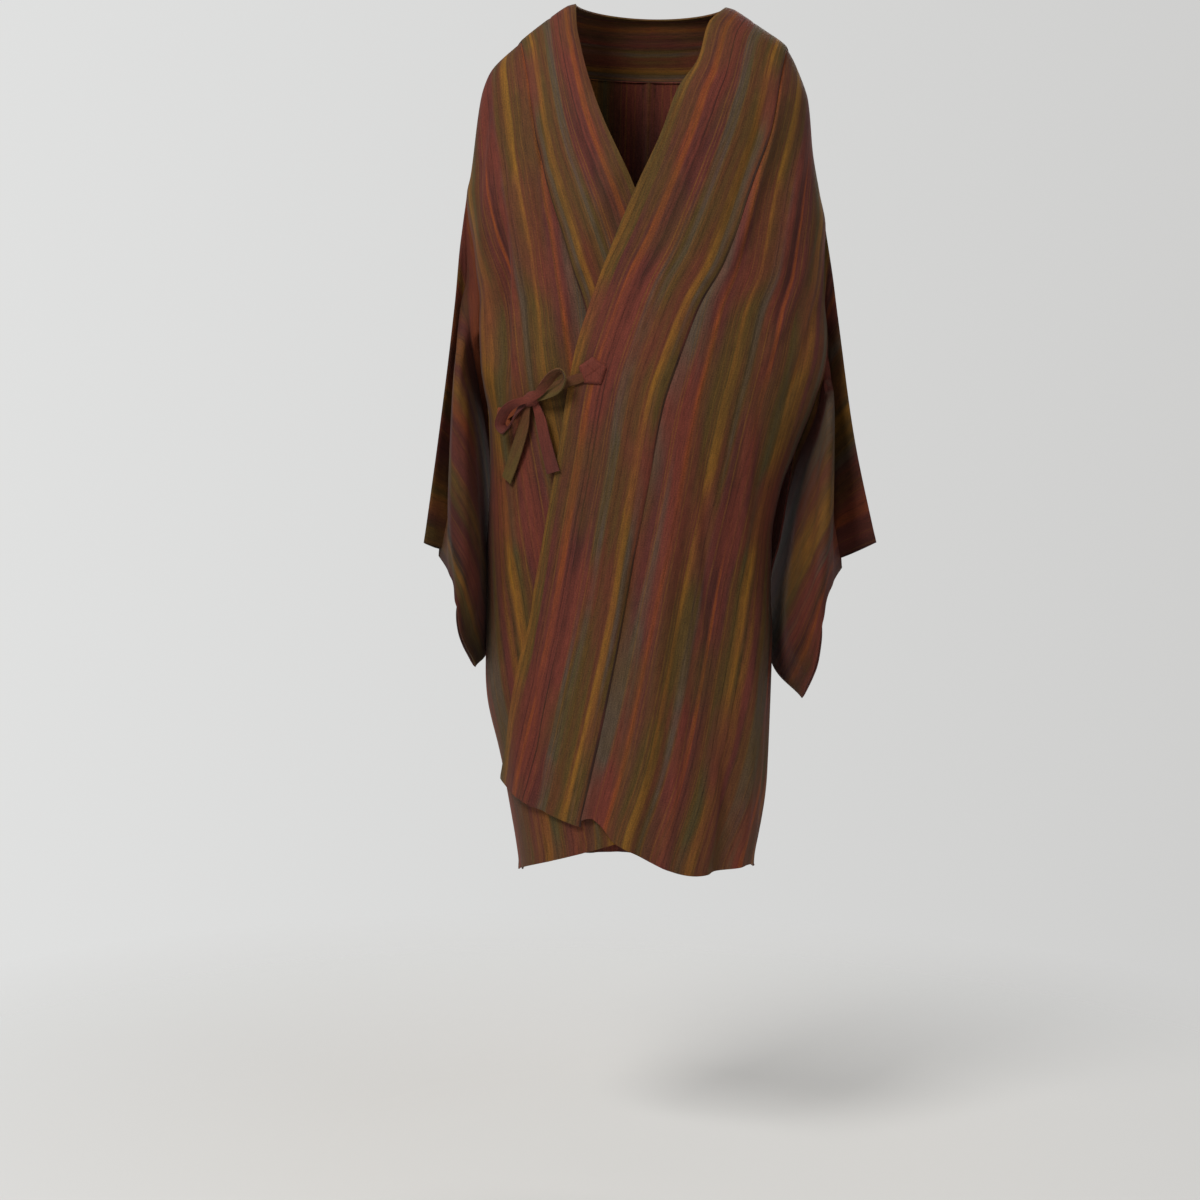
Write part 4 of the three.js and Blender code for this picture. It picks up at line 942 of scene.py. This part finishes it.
# ---------------------------------------------------------------- collar
@dataclass
class CollarBand:
    """Half of the collar band, from the front hem round to the middle of the back."""

    side: Side
    columns: int = 22
    row_step: float = 5.0
    wall: float = 0.0022

    def stations(self) -> tuple:
        """Seam and edge of the band at each station.

        Returns:
            Front rows (angle and height of seam and edge, share from the shoulder) and back rows.
        """
        cut = FORM.cut[self.side]
        sign = self.side.value
        z_side = BodyPanel(self.side).heights()[::-1]
        along = cut.along(z_side)
        z_seam = lerp(SHOULDER_Z, cut.seam_hem, along)
        z_edge = lerp(EDGE_TOP, cut.edge_hem, along)
        front = np.stack([FORM.angle_of(Face.FRONT, cut.seam(z_seam), z_seam), z_seam,
                          FORM.angle_of(Face.FRONT, cut.edge(z_edge), z_edge), z_edge, along], axis=1)
        t = np.linspace(0.0, 1.0, 34)
        angle = sign * (np.pi / 2) * (1 - t)
        back = np.stack([angle, lerp(SHOULDER_Z, NECK_DIP, smooth(np.sqrt(t))), angle,
                         lerp(EDGE_TOP, EDGE_BACK, smooth(t)), np.zeros_like(t)], axis=1)
        quarter = sign * np.pi / 2
        blend = np.linspace(0, 1, 9)[1:, None]
        last = front[-1]
        turn = np.array([quarter, SHOULDER_Z, quarter, EDGE_TOP, 0.0])
        bridge = last + (turn - last) * blend
        return np.concatenate([front, bridge]), back

    def rows(self, face: Face, rows: Array) -> Array:
        """Points of the band on one face."""
        share = np.linspace(0, 1, self.columns + 1)[None, :]
        angle = lerp(rows[:, 0:1], rows[:, 2:3], share)
        z = lerp(rows[:, 1:2], rows[:, 3:4], share)
        x = FORM.width_at(face, angle, z) * np.sin(angle)
        under = FORM.underlap(self.side, x, z) if face is Face.FRONT else np.zeros_like(z)
        step = COLLAR_STEP * (1 - smooth(rows[:, 4:5] / 0.3))
        roll = step * smooth((1 - share) / 0.3 + 0.2) + 0.5
        for place, half, deep in BAND_GROOVES:
            roll = roll - deep * bell((share * BAND_REACH - place) / half)
        fold = np.where(rows[:, 4:5] < 0.12, -2.5 * smooth((share - 0.86) / 0.14) ** 2, 0.0)
        points = FORM.point(face, angle, z, roll + fold, under)
        points[..., 2] += np.where(rows[:, 4:5] < 0.12, -2.0 * smooth((share - 0.88) / 0.12) ** 2, 0.0)
        return points

    def build(self, material: bpy.types.Material) -> bpy.types.Object:
        """Make the band."""
        name = f"silk_collar_{self.side.name.lower()}"
        front_rows, back_rows = self.stations()
        front, back = self.rows(Face.FRONT, front_rows), self.rows(Face.BACK, back_rows)
        back[-1, :, 0] = self.side.value * -0.15
        points = np.concatenate([front, back[1:]])
        points[:, 0] += (points[:, 1] - points[:, 0]) * 0.08
        across, along = run_length(points, 1), run_length(points, 0)
        width = BAND_WIDTH[self.side.name.lower()]
        u = across / np.maximum(across[:, -1:], 1.0) * lerp(across[:, -1:], width, 0.65)
        uv = np.stack([u, np.broadcast_to(along[:, :1], u.shape)], axis=-1)
        heavy = np.full(points.shape[:2], 0.8)
        heavy[:, -2:] = 1.0
        sheet = ClothSheet(name)
        sheet.grid(points, uv, heavy, self.side is Side.RIGHT)
        obj = sheet.build(self.wall, 0.4, material, merge=1e-5)
        dress(obj, f"collar_{self.side.name.lower()}")
        return obj


# ---------------------------------------------------------------- sleeves
# From armhole to cuff: at, then top fold, bend behind, ridge in front, turn inside it, bottom seam.
LEFT_SLEEVE = (
    (0, (202, 0, -203), (200, 18, -290), (194, 18, -400), (177, 56, -465), (162, 100, -530)),
    (0.15, (212, 0, -256), (206, 15, -318), (206, 6, -405), (187, 44, -475), (170, 92, -562)),
    (0.33, (220, 0, -305), (208, 20, -350), (211, -28, -412), (190, -8, -490), (158, 84, -614)),
    (0.67, (243, 0, -440), (217, 26, -484), (209, -66, -545), (181, -52, -630), (157, 34, -702)),
    (1, (272, 0, -560), (224, 28, -590), (210, -64, -616), (203, -76, -688), (190, -36, -737)),
)
RIGHT_SLEEVE = (
    (0, (-205, 0, -175), (-201, 16, -250), (-190, 16, -330), (-177, 56, -430), (-165, 98, -515)),
    (0.15, (-211, 0, -226), (-205, 14, -284), (-204, 4, -342), (-187, 42, -440), (-171, 90, -545)),
    (0.33, (-217, 0, -300), (-207, 24, -340), (-210, -30, -380), (-190, -12, -455), (-168, 76, -608)),
    (0.67, (-232, 0, -440), (-213, 26, -472), (-211, -66, -530), (-185, -54, -605), (-172, 26, -692)),
    (1, (-248, 0, -572), (-219, 28, -588), (-208, -64, -608), (-202, -76, -664), (-185, -40, -709)),
)


@dataclass
class Sleeve:
    """A hanging sleeve: two layers joined by the top fold and the bottom seam, open at the cuff."""

    side: Side
    rings: int = 76
    columns: int = 64
    gap: float = 3.6
    root_gap: float = 14.0
    cuff_gap: float = 15.0
    cuff_open: float = 0.5
    wall: float = 0.0018
    folds: tuple = field(default=())

    def middle(self, q: Array, r: Array) -> Array:
        """Middle surface: q from armhole to cuff, r from top fold to bottom seam."""
        table = LEFT_SLEEVE if self.side is Side.LEFT else RIGHT_SLEEVE
        lines = np.array([row[1:] for row in table], dtype=float)
        along = through(lines, np.array([row[0] for row in table]), q)
        return np.moveaxis(through(np.moveaxis(along, 1, 0), np.array(SLEEVE_KNOTS), r), 0, 1)

    def space(self, q: Array, r: Array) -> Array:
        """Half the space between the two layers."""
        ends = np.sqrt(np.clip(1 - (2 * r - 1) ** 2, 0, 1))
        cuff = smooth((q - 0.72) / 0.28)
        mouth = bell((r - self.cuff_open / 2) / (self.cuff_open / 2 + 0.06))
        plain = ends * lerp(self.root_gap, self.gap, smooth(q / 0.3))
        return lerp(plain, lerp(1.4, self.cuff_gap, mouth) * np.minimum(1.0, ends * 2.4), cuff)

    def layer(self, q: Array, r: Array, out: float) -> Array:
        """One layer of the sleeve."""
        e = 0.01
        middle = self.middle(q, r)
        along = self.middle(np.minimum(q + e, 1), r) - self.middle(np.maximum(q - e, 0), r)
        down = self.middle(q, np.minimum(r + e, 1)) - self.middle(q, np.maximum(r - e, 0))
        front = np.cross(down, along)
        front *= self.side.value / np.maximum(np.linalg.norm(front, axis=-1, keepdims=True), 1e-9)
        early = (1 - smooth(q / 0.3))[:, None, None]
        front = front * (1 - early) + np.array([0.0, -1.0, 0.0]) * early
        front /= np.linalg.norm(front, axis=-1, keepdims=True)
        qq, rr = q[:, None], r[None, :]
        ripple = self.ripple(qq, rr) * smooth(qq / 0.15) * np.sqrt(np.clip(1 - (2 * rr - 1) ** 2, 0, 1))
        offset = out * self.space(qq, rr) + ripple
        return middle + front * offset[..., None]

    def ripple(self, q: Array, r: Array) -> Array:
        """Soft creases of the hanging cloth, in millimetres out of the sleeve's front."""
        rise = np.zeros(np.broadcast(q, r).shape)
        for q0, r0, q1, r1, half, height in self.folds:
            length = math.hypot(q1 - q0, r1 - r0)
            u, v = (q1 - q0) / length, (r1 - r0) / length
            t = ((q - q0) * u + (r - r0) * v) / length
            away = (-(q - q0) * v + (r - r0) * u) / half
            rise = rise + height * bell(away) * smooth((t + 0.15) / 0.3) * smooth((1.15 - t) / 0.3)
        return rise

    def build(self, material: bpy.types.Material) -> bpy.types.Object:
        """Make the sleeve."""
        cut = FORM.cut[self.side]
        sign = self.side.value
        name = f"silk_sleeve_{self.side.name.lower()}"
        q = np.linspace(0, 1, self.rings + 1)
        r = np.unique(np.concatenate([np.linspace(0, 1, self.columns + 1), np.linspace(0, 0.04, 5),
                                      np.linspace(0.96, 1, 5)]))
        front, back = self.layer(q, r, 1.0), self.layer(q, r, -1.0)
        # The root is drawn to the armhole's two edges.
        sewn = np.clip(r / 0.5, 0, 1)
        z = lerp(cut.top, cut.end, sewn)
        near = smooth((0.56 - r) / 0.06)
        hold = (1 - smooth(q / 0.12))[:, None] * near[None, :]
        for points, face, reach in ((front, Face.FRONT, cut.before), (back, Face.BACK, cut.behind)):
            angle = sign * np.arccos(cut.openness(z) * reach / FORM.depth[face](z))
            edge = FORM.point(face, angle, z)
            points += (edge - points[0])[None] * hold[..., None]
        back[:, 0], back[:, -1] = front[:, 0], front[:, -1]
        wide, deep = SLEEVE_FLAT
        uv_front, uv_back = (
            np.stack(np.broadcast_arrays(q[:, None] * wide, way * r[None, :] * deep), axis=-1)
            for way in (1.0, -1.0))
        heavy = np.broadcast_to(np.maximum(bell((1 - q) / 0.05), 0.0)[:, None], front.shape[:2])
        sheet = ClothSheet(name)
        sheet.grid(front, uv_front, heavy, self.side is Side.LEFT)
        sheet.grid(back, uv_back, heavy, self.side is Side.RIGHT)
        obj = sheet.build(self.wall, 0.62, material)
        dress(obj, f"sleeve_{self.side.name.lower()}")
        return obj


# ---------------------------------------------------------------- the bow
# Paths as seen from before: x, z, height off the cloth, turn on edge in degrees, width.
STRAP_LEFT = ((-68, -374, 4, 0, 10), (-79, -378, 4, 0, 11), (-91, -382, 4.5, 0, 10), (-104, -388, 5, 0, 9),
              (-125, -399, 5.5, 0, 8))
STRAP_RIGHT = ((-156, -423, 4, 0, 9), (-147, -416, 4.5, 0, 9), (-138, -409, 5, 0, 8), (-125, -401, 5.5, 0, 8))
LOOP_UPPER = ((-125, -400, 15, 0, 7), (-117, -393, 17, 20, 9), (-109, -382, 20, 48, 12),
              (-101, -372, 22, 62, 14), (-92, -368, 21, 66, 14), (-88, -376, 18, 60, 13),
              (-94, -387, 15, 40, 12), (-108, -395, 12.5, 15, 9), (-125, -401, 11, 0, 7))
LOOP_LOWER = ((-125, -400, 15, 0, 7), (-137, -403, 17, -20, 8), (-149, -409, 19, -50, 11),
              (-157, -419, 19, -60, 12), (-160, -431, 18, -62, 12), (-154, -437, 16, -60, 12),
              (-148, -429, 14.5, -55, 11), (-142, -417, 13, -40, 9), (-135, -408, 11.5, -10, 7),
              (-125, -401, 11, 0, 7))
TAIL_RIGHT = ((-123, -401, 8, 0, 7), (-118, -412, 8, 0, 10), (-114, -424, 7, 0, 13), (-109, -445, 6, 0, 14),
              (-104, -464, 5, 0, 15), (-99, -481, 5, 0, 16))
TAIL_LEFT = ((-128, -402, 8, 0, 7), (-130, -413, 9, 0, 9), (-133, -430, 8, 0, 14), (-139, -452, 7, 0, 16),
             (-146, -475, 5, 0, 17), (-152, -493, 5, 0, 17))


@dataclass
class TieStrip:
    """A sewn tie strip along a path on the front."""

    name: str
    node: str
    slot: str
    path: tuple
    flat: tuple
    held: str
    across: int = 8
    step: float = 2.0
    wall: float = 0.0013
    crown: float = 0.5

    def build(self, material: bpy.types.Material) -> bpy.types.Object:
        """Make the strip."""
        rows = np.array(self.path, dtype=float)
        knots = np.concatenate([[0.0], np.cumsum(np.linalg.norm(np.diff(rows[:, :3], axis=0), axis=1))])
        count = max(6, round(knots[-1] / self.step))
        fine = through(rows, knots, np.linspace(0, knots[-1], count + 1))
        spots = [FORM.on_front(row[0], row[1], row[2]) for row in fine]
        grid = []
        for i, (spot, row) in enumerate(zip(spots, fine)):
            ahead = (spots[min(i + 1, count)] - spots[max(i - 1, 0)]).normalized()
            out = FORM.out(row[0], row[1])
            side = out.cross(ahead).normalized()
            side = Matrix.Rotation(math.radians(row[3]), 3, ahead) @ side
            up = ahead.cross(side).normalized()
            s = np.linspace(-0.5, 0.5, self.across + 1)
            wave = 0.25 * math.sin(i * 0.9)
            rise = self.crown * (1 - 4 * s * s) * (1 + wave)
            grid.append([tuple(spot + side * float(row[4] * v) + up * float(h)) for v, h in zip(s, rise)])
        points = np.array(grid)
        uv = np.stack([run_length(points, 1), run_length(points, 0)], axis=-1)
        heavy = np.zeros(points.shape[:2])
        heavy[:, 0] = heavy[:, -1] = heavy[-1] = 1.0
        sheet = ClothSheet(self.name)
        sheet.grid(points, uv, heavy, False)
        obj = sheet.build(self.wall * 1.15, 0.85, material, merge=1e-6)
        dress(obj, self.node)
        return obj


@dataclass
class FoldedPentagon:
    """The pentagon folded from the tie's end where it is sewn to the coat."""

    side: Side
    x: float
    z: float
    turn: float
    radius: float = 15.5
    high: float = 3.5

    def relief(self, u: float, v: float) -> float:
        """Height of the folded layers over the flat back."""
        edge = min(self.radius * math.cos(math.pi / 5)
                   - (u * math.cos(self.turn + a) + v * math.sin(self.turn + a))
                   for a in (math.pi / 5 + k * 2 * math.pi / 5 for k in range(5)))
        round_edge = 1 - (1 - min(1.0, max(0.0, edge) / 2.6)) ** 2
        layers = 0.0
        for a, off, rise in ((0.63, 2.0, 0.55), (1.9, -1.0, 0.45), (3.2, 3.0, 0.35)):
            d = u * math.cos(self.turn + a) + v * math.sin(self.turn + a) - off
            layers += rise / (1 + math.exp(-d * 3.0)) - 0.35 * math.exp(-(d / 0.7) ** 2)
        return round_edge * (1.5 + layers)

    def build(self, material: bpy.types.Material) -> bpy.types.Object:
        """Make the pentagon."""
        name = f"tie_fold_{self.side.name.lower()}"
        rings, spokes = 14, 60
        middle = float(FORM.angle_of(Face.FRONT, self.x, self.z))
        speed = math.hypot(float(FORM.width_at(Face.FRONT, self.x, self.z)) * math.cos(middle),
                           float(FORM.depth[Face.FRONT](self.z)) * math.sin(middle))
        grid, uv = [], []
        for k in range(rings + 1):
            row, row_uv = [], []
            for i in range(spokes + 1):
                a = 2 * math.pi * (i % spokes) / spokes
                local = (a % (2 * math.pi / 5)) - math.pi / 5
                reach = self.radius * math.cos(math.pi / 5) / math.cos(local) * k / rings
                u, v = reach * math.cos(self.turn + a), reach * math.sin(self.turn + a)
                angle = middle + u / speed
                x = float(FORM.width_at(Face.FRONT, self.x, self.z + v)) * math.sin(angle)
                row.append(tuple(FORM.on_front(x, self.z + v, self.high + self.relief(u, v) - 1.2)))
                row_uv.append((u, v))
            grid.append(row)
            uv.append(row_uv)
        sheet = ClothSheet(name)
        sheet.grid(np.array(grid), np.array(uv), np.ones((rings + 1, spokes + 1)), True)
        obj = sheet.build(0.0022, 1.0, material, merge=2e-5, smooth_angle=45)
        dress(obj, f"tie_pentagon_{self.side.name.lower()}")
        return obj


@dataclass
class BowKnot:
    """The knot: the two strips drawn tight round each other."""

    x: float = -125.0
    z: float = -400.0
    high: float = 10.0
    length: float = 20.6
    width: float = 16.6
    depth: float = 14.6
    turn: float = 0.5

    def build(self, material: bpy.types.Material) -> bpy.types.Object:
        """Shape a ball into the wrapped knot."""
        bpy.ops.object.select_all(action="DESELECT")
        bpy.ops.mesh.primitive_uv_sphere_add(segments=56, ring_count=36, radius=1.0)
        obj = bpy.context.object
        obj.name = obj.data.name = "bow_knot"
        centre = FORM.on_front(self.x, self.z, self.high)
        out = FORM.out(self.x, self.z)
        along = Vector((0, 0, 1)).cross(out)
        along = (Matrix.Rotation(self.turn, 3, out) @ along).normalized()
        up = out.cross(along)
        uv = obj.data.uv_layers.active
        uv.name = "cloth"
        for item in uv.data:
            item.uv = (item.uv[0] * 0.045, item.uv[1] * 0.02)
        for vertex in obj.data.vertices:
            a, b, c = vertex.co
            band = 0.5 + 0.5 * math.cos(9.0 * (a * 0.9 + 0.35 * b))
            cross = 0.5 + 0.5 * math.cos(7.0 * (b - 0.5 * a))
            swell = 1.0 - 0.10 * band * (1 - abs(a)) - 0.06 * cross * max(0.0, c)
            squash = [math.copysign(abs(v) ** 0.8, v) * swell for v in (a, b)]
            spot = (centre + along * (squash[0] * self.length / 2) + up * (squash[1] * self.width / 2)
                    + out * (c * swell * self.depth / 2))
            vertex.co = spot * 0.001
        obj.data.materials.append(material)
        shade(obj, 60)
        dress(obj, "tie_knot")
        return obj


# ---------------------------------------------------------------- studio
@dataclass
class Studio:
    """Pale floor, pale surroundings, soft lights and the camera before the coat."""

    target: tuple = (-0.044, -0.060, -0.627)
    distance: float = 3.0
    pitch: float = 6.5
    roll: float = 1.3
    lens: float = 79.5
    floor_z: float = -1.294
    fade_from: float = 0.35
    fade_over: float = 0.9

    def camera(self) -> None:
        """Set the camera."""
        data = bpy.data.cameras.new("camera")
        data.lens = self.lens
        data.sensor_width = 36.0
        camera = bpy.data.objects.new("camera", data)
        bpy.context.collection.objects.link(camera)
        p = math.radians(self.pitch)
        camera.location = (self.target[0], self.target[1] - self.distance * math.cos(p),
                           self.target[2] + self.distance * math.sin(p))
        look = Euler((math.pi / 2 - p, 0.0, 0.0)).to_matrix().to_4x4()
        roll = Matrix.Rotation(math.radians(self.roll), 4, "Z")
        camera.rotation_euler = (look @ roll).to_euler()
        bpy.context.scene.camera = camera

    def floor(self) -> None:
        """A pale floor that fades out far from the coat."""
        bpy.ops.object.select_all(action="DESELECT")
        bpy.ops.mesh.primitive_circle_add(vertices=96, radius=3.0, fill_type="NGON",
                                          location=(0, 0, self.floor_z))
        floor = bpy.context.object
        floor.name = "floor"
        material, n, shader = new_material("pale_floor")
        shader.inputs["Base Color"].default_value = (0.93, 0.92, 0.90, 1)
        shader.inputs["Roughness"].default_value = 0.9
        place = n.add("ShaderNodeTexCoord")
        length = n.add("ShaderNodeVectorMath", operation="LENGTH")
        n.feed(length.inputs[0], place.outputs["Object"])
        gone = n.math("DIVIDE", n.math("SUBTRACT", length.outputs["Value"], self.fade_from),
                      self.fade_over, clamp=True)
        n.feed(shader.inputs["Alpha"], n.math("SUBTRACT", 1.0, gone, clamp=True))
        floor.data.materials.append(material)

    def world(self) -> None:
        """Pale surroundings, a little lighter on the left."""
        world = bpy.data.worlds.new("pale_room")
        bpy.context.scene.world = world
        world.use_nodes = True
        n = Nodes(world.node_tree)
        back = world.node_tree.nodes["Background"]
        place = n.add("ShaderNodeTexCoord")
        parts = n.add("ShaderNodeSeparateXYZ")
        n.feed(parts.inputs[0], place.outputs["Generated"])
        slope = n.math("MULTIPLY_ADD", parts.outputs[0], 1.6, 0.5, clamp=True)
        n.feed(back.inputs["Color"], n.mix(slope, (0.77, 0.775, 0.77, 1), (0.60, 0.598, 0.59, 1)))
        path = n.add("ShaderNodeLightPath")
        n.feed(back.inputs["Strength"], n.math("MULTIPLY_ADD", path.outputs["Is Camera Ray"], 0.62, 0.38))

    def light(self, name: str, place: tuple, size: float, power: float, colour: tuple) -> None:
        """A soft square light turned to the coat."""
        data = bpy.data.lights.new(name, "AREA")
        data.size = size
        data.energy = power
        data.color = colour
        lamp = bpy.data.objects.new(name, data)
        bpy.context.collection.objects.link(lamp)
        lamp.location = place
        lamp.rotation_euler = (Vector((0, 0, -0.5)) - Vector(place)).to_track_quat("-Z", "Y").to_euler()

    def build(self) -> None:
        """Build the whole studio."""
        self.camera()
        self.floor()
        self.world()
        self.light("key", (-1.5, -2.2, 1.7), 1.1, 62.0, (1.0, 0.985, 0.96))
        self.light("fill", (2.2, -1.8, 0.6), 1.8, 9.0, (0.97, 0.98, 1.0))
        self.light("behind", (0.7, 2.6, 1.1), 1.8, 34.0, (1.0, 0.99, 0.97))
        bpy.context.scene.view_settings.view_transform = "Standard"


# Creases of the sleeves: place (q, r) of both ends, half width and rise.
LEFT_FOLDS = (
    (0.25, 0.10, 0.95, 0.16, 0.06, 1.8), (0.30, 0.42, 0.98, 0.44, 0.05, 2.2),
    (0.2, 0.30, 0.9, 0.34, 0.05, -2.0), (0.3, 0.62, 0.98, 0.66, 0.06, -1.8),
    (0.35, 0.78, 0.95, 0.84, 0.06, 2.0), (0.1, 0.05, 0.5, 0.28, 0.05, 1.6),
)
RIGHT_FOLDS = (
    (0.2, 0.12, 0.95, 0.10, 0.06, 1.8), (0.3, 0.40, 0.98, 0.46, 0.05, 2.0),
    (0.2, 0.28, 0.9, 0.32, 0.05, -2.0), (0.3, 0.60, 0.98, 0.64, 0.06, 1.6),
    (0.35, 0.76, 0.95, 0.86, 0.06, -1.8), (0.1, 0.06, 0.5, 0.24, 0.05, 1.4),
)


def main() -> None:
    """Build the coat piece by piece and set the studio."""
    logging.basicConfig(level=logging.INFO, format="%(name)s: %(message)s")
    bpy.ops.object.select_all(action="DESELECT")
    weave, drift = crepe_weave(), dye_drift()
    sleeve = {"period": SLEEVE_FLAT[0], "repeats": False, "tone": 0.74, "drift": 0.5}
    body_silk, collar_silk, left_silk, right_silk = (finish.material(weave, drift) for finish in (
        StripedSilk("striped_silk_body", BODY_STRIPES, 190.0),
        StripedSilk("striped_silk_collar", COLLAR_STRIPES, 135.0, repeats=False),
        StripedSilk("striped_silk_left_sleeve", LEFT_SLEEVE_STRIPES, **sleeve),
        StripedSilk("striped_silk_right_sleeve", RIGHT_SLEEVE_STRIPES, **sleeve)))
    brick, rust, olive, turned = (finish.material(weave) for finish in (
        TieSilk("tie_silk_brick", Dye.BRICK, Dye.PLUM), TieSilk("tie_silk_rust", Dye.RUST, Dye.BRICK),
        TieSilk("tie_silk_olive", Dye.BROWN, Dye.KHAKI),
        TieSilk("tie_silk_turned", Dye.BRICK, Dye.KHAKI, 0.95)))
    for side, silk, folds in ((Side.LEFT, left_silk, LEFT_FOLDS), (Side.RIGHT, right_silk, RIGHT_FOLDS)):
        BodyPanel(side).build(body_silk)
        CollarBand(side).build(collar_silk)
        Sleeve(side, folds=folds).build(silk)
    FoldedPentagon(Side.LEFT, -58, -368, 0.3).build(brick)
    FoldedPentagon(Side.RIGHT, -158, -426, 0.9).build(rust)
    BowKnot().build(brick)
    for name, slot, path, flat, held, silk in (
            ("strap_left", "silk_tie", STRAP_LEFT, (0.010, 0.065), "draped", olive),
            ("strap_right", "silk_tie", STRAP_RIGHT, (0.010, 0.040), "draped", rust),
            ("loop_upper", "silk_tie", LOOP_UPPER, (0.012, 0.105), "folded", turned),
            ("loop_lower", "silk_tie", LOOP_LOWER, (0.011, 0.105), "folded", brick),
            ("tail_right", "silk_tie", TAIL_RIGHT, (0.015, 0.085), "hung", brick),
            ("tail_left", "silk_tie_olive", TAIL_LEFT, (0.016, 0.098), "hung", olive)):
        TieStrip(f"bow_{name}", f"tie_{name}", slot, path, flat, held).build(silk)
    Studio().build()
    LOG.info("coat and studio built")


if __name__ == "__main__":
    main()
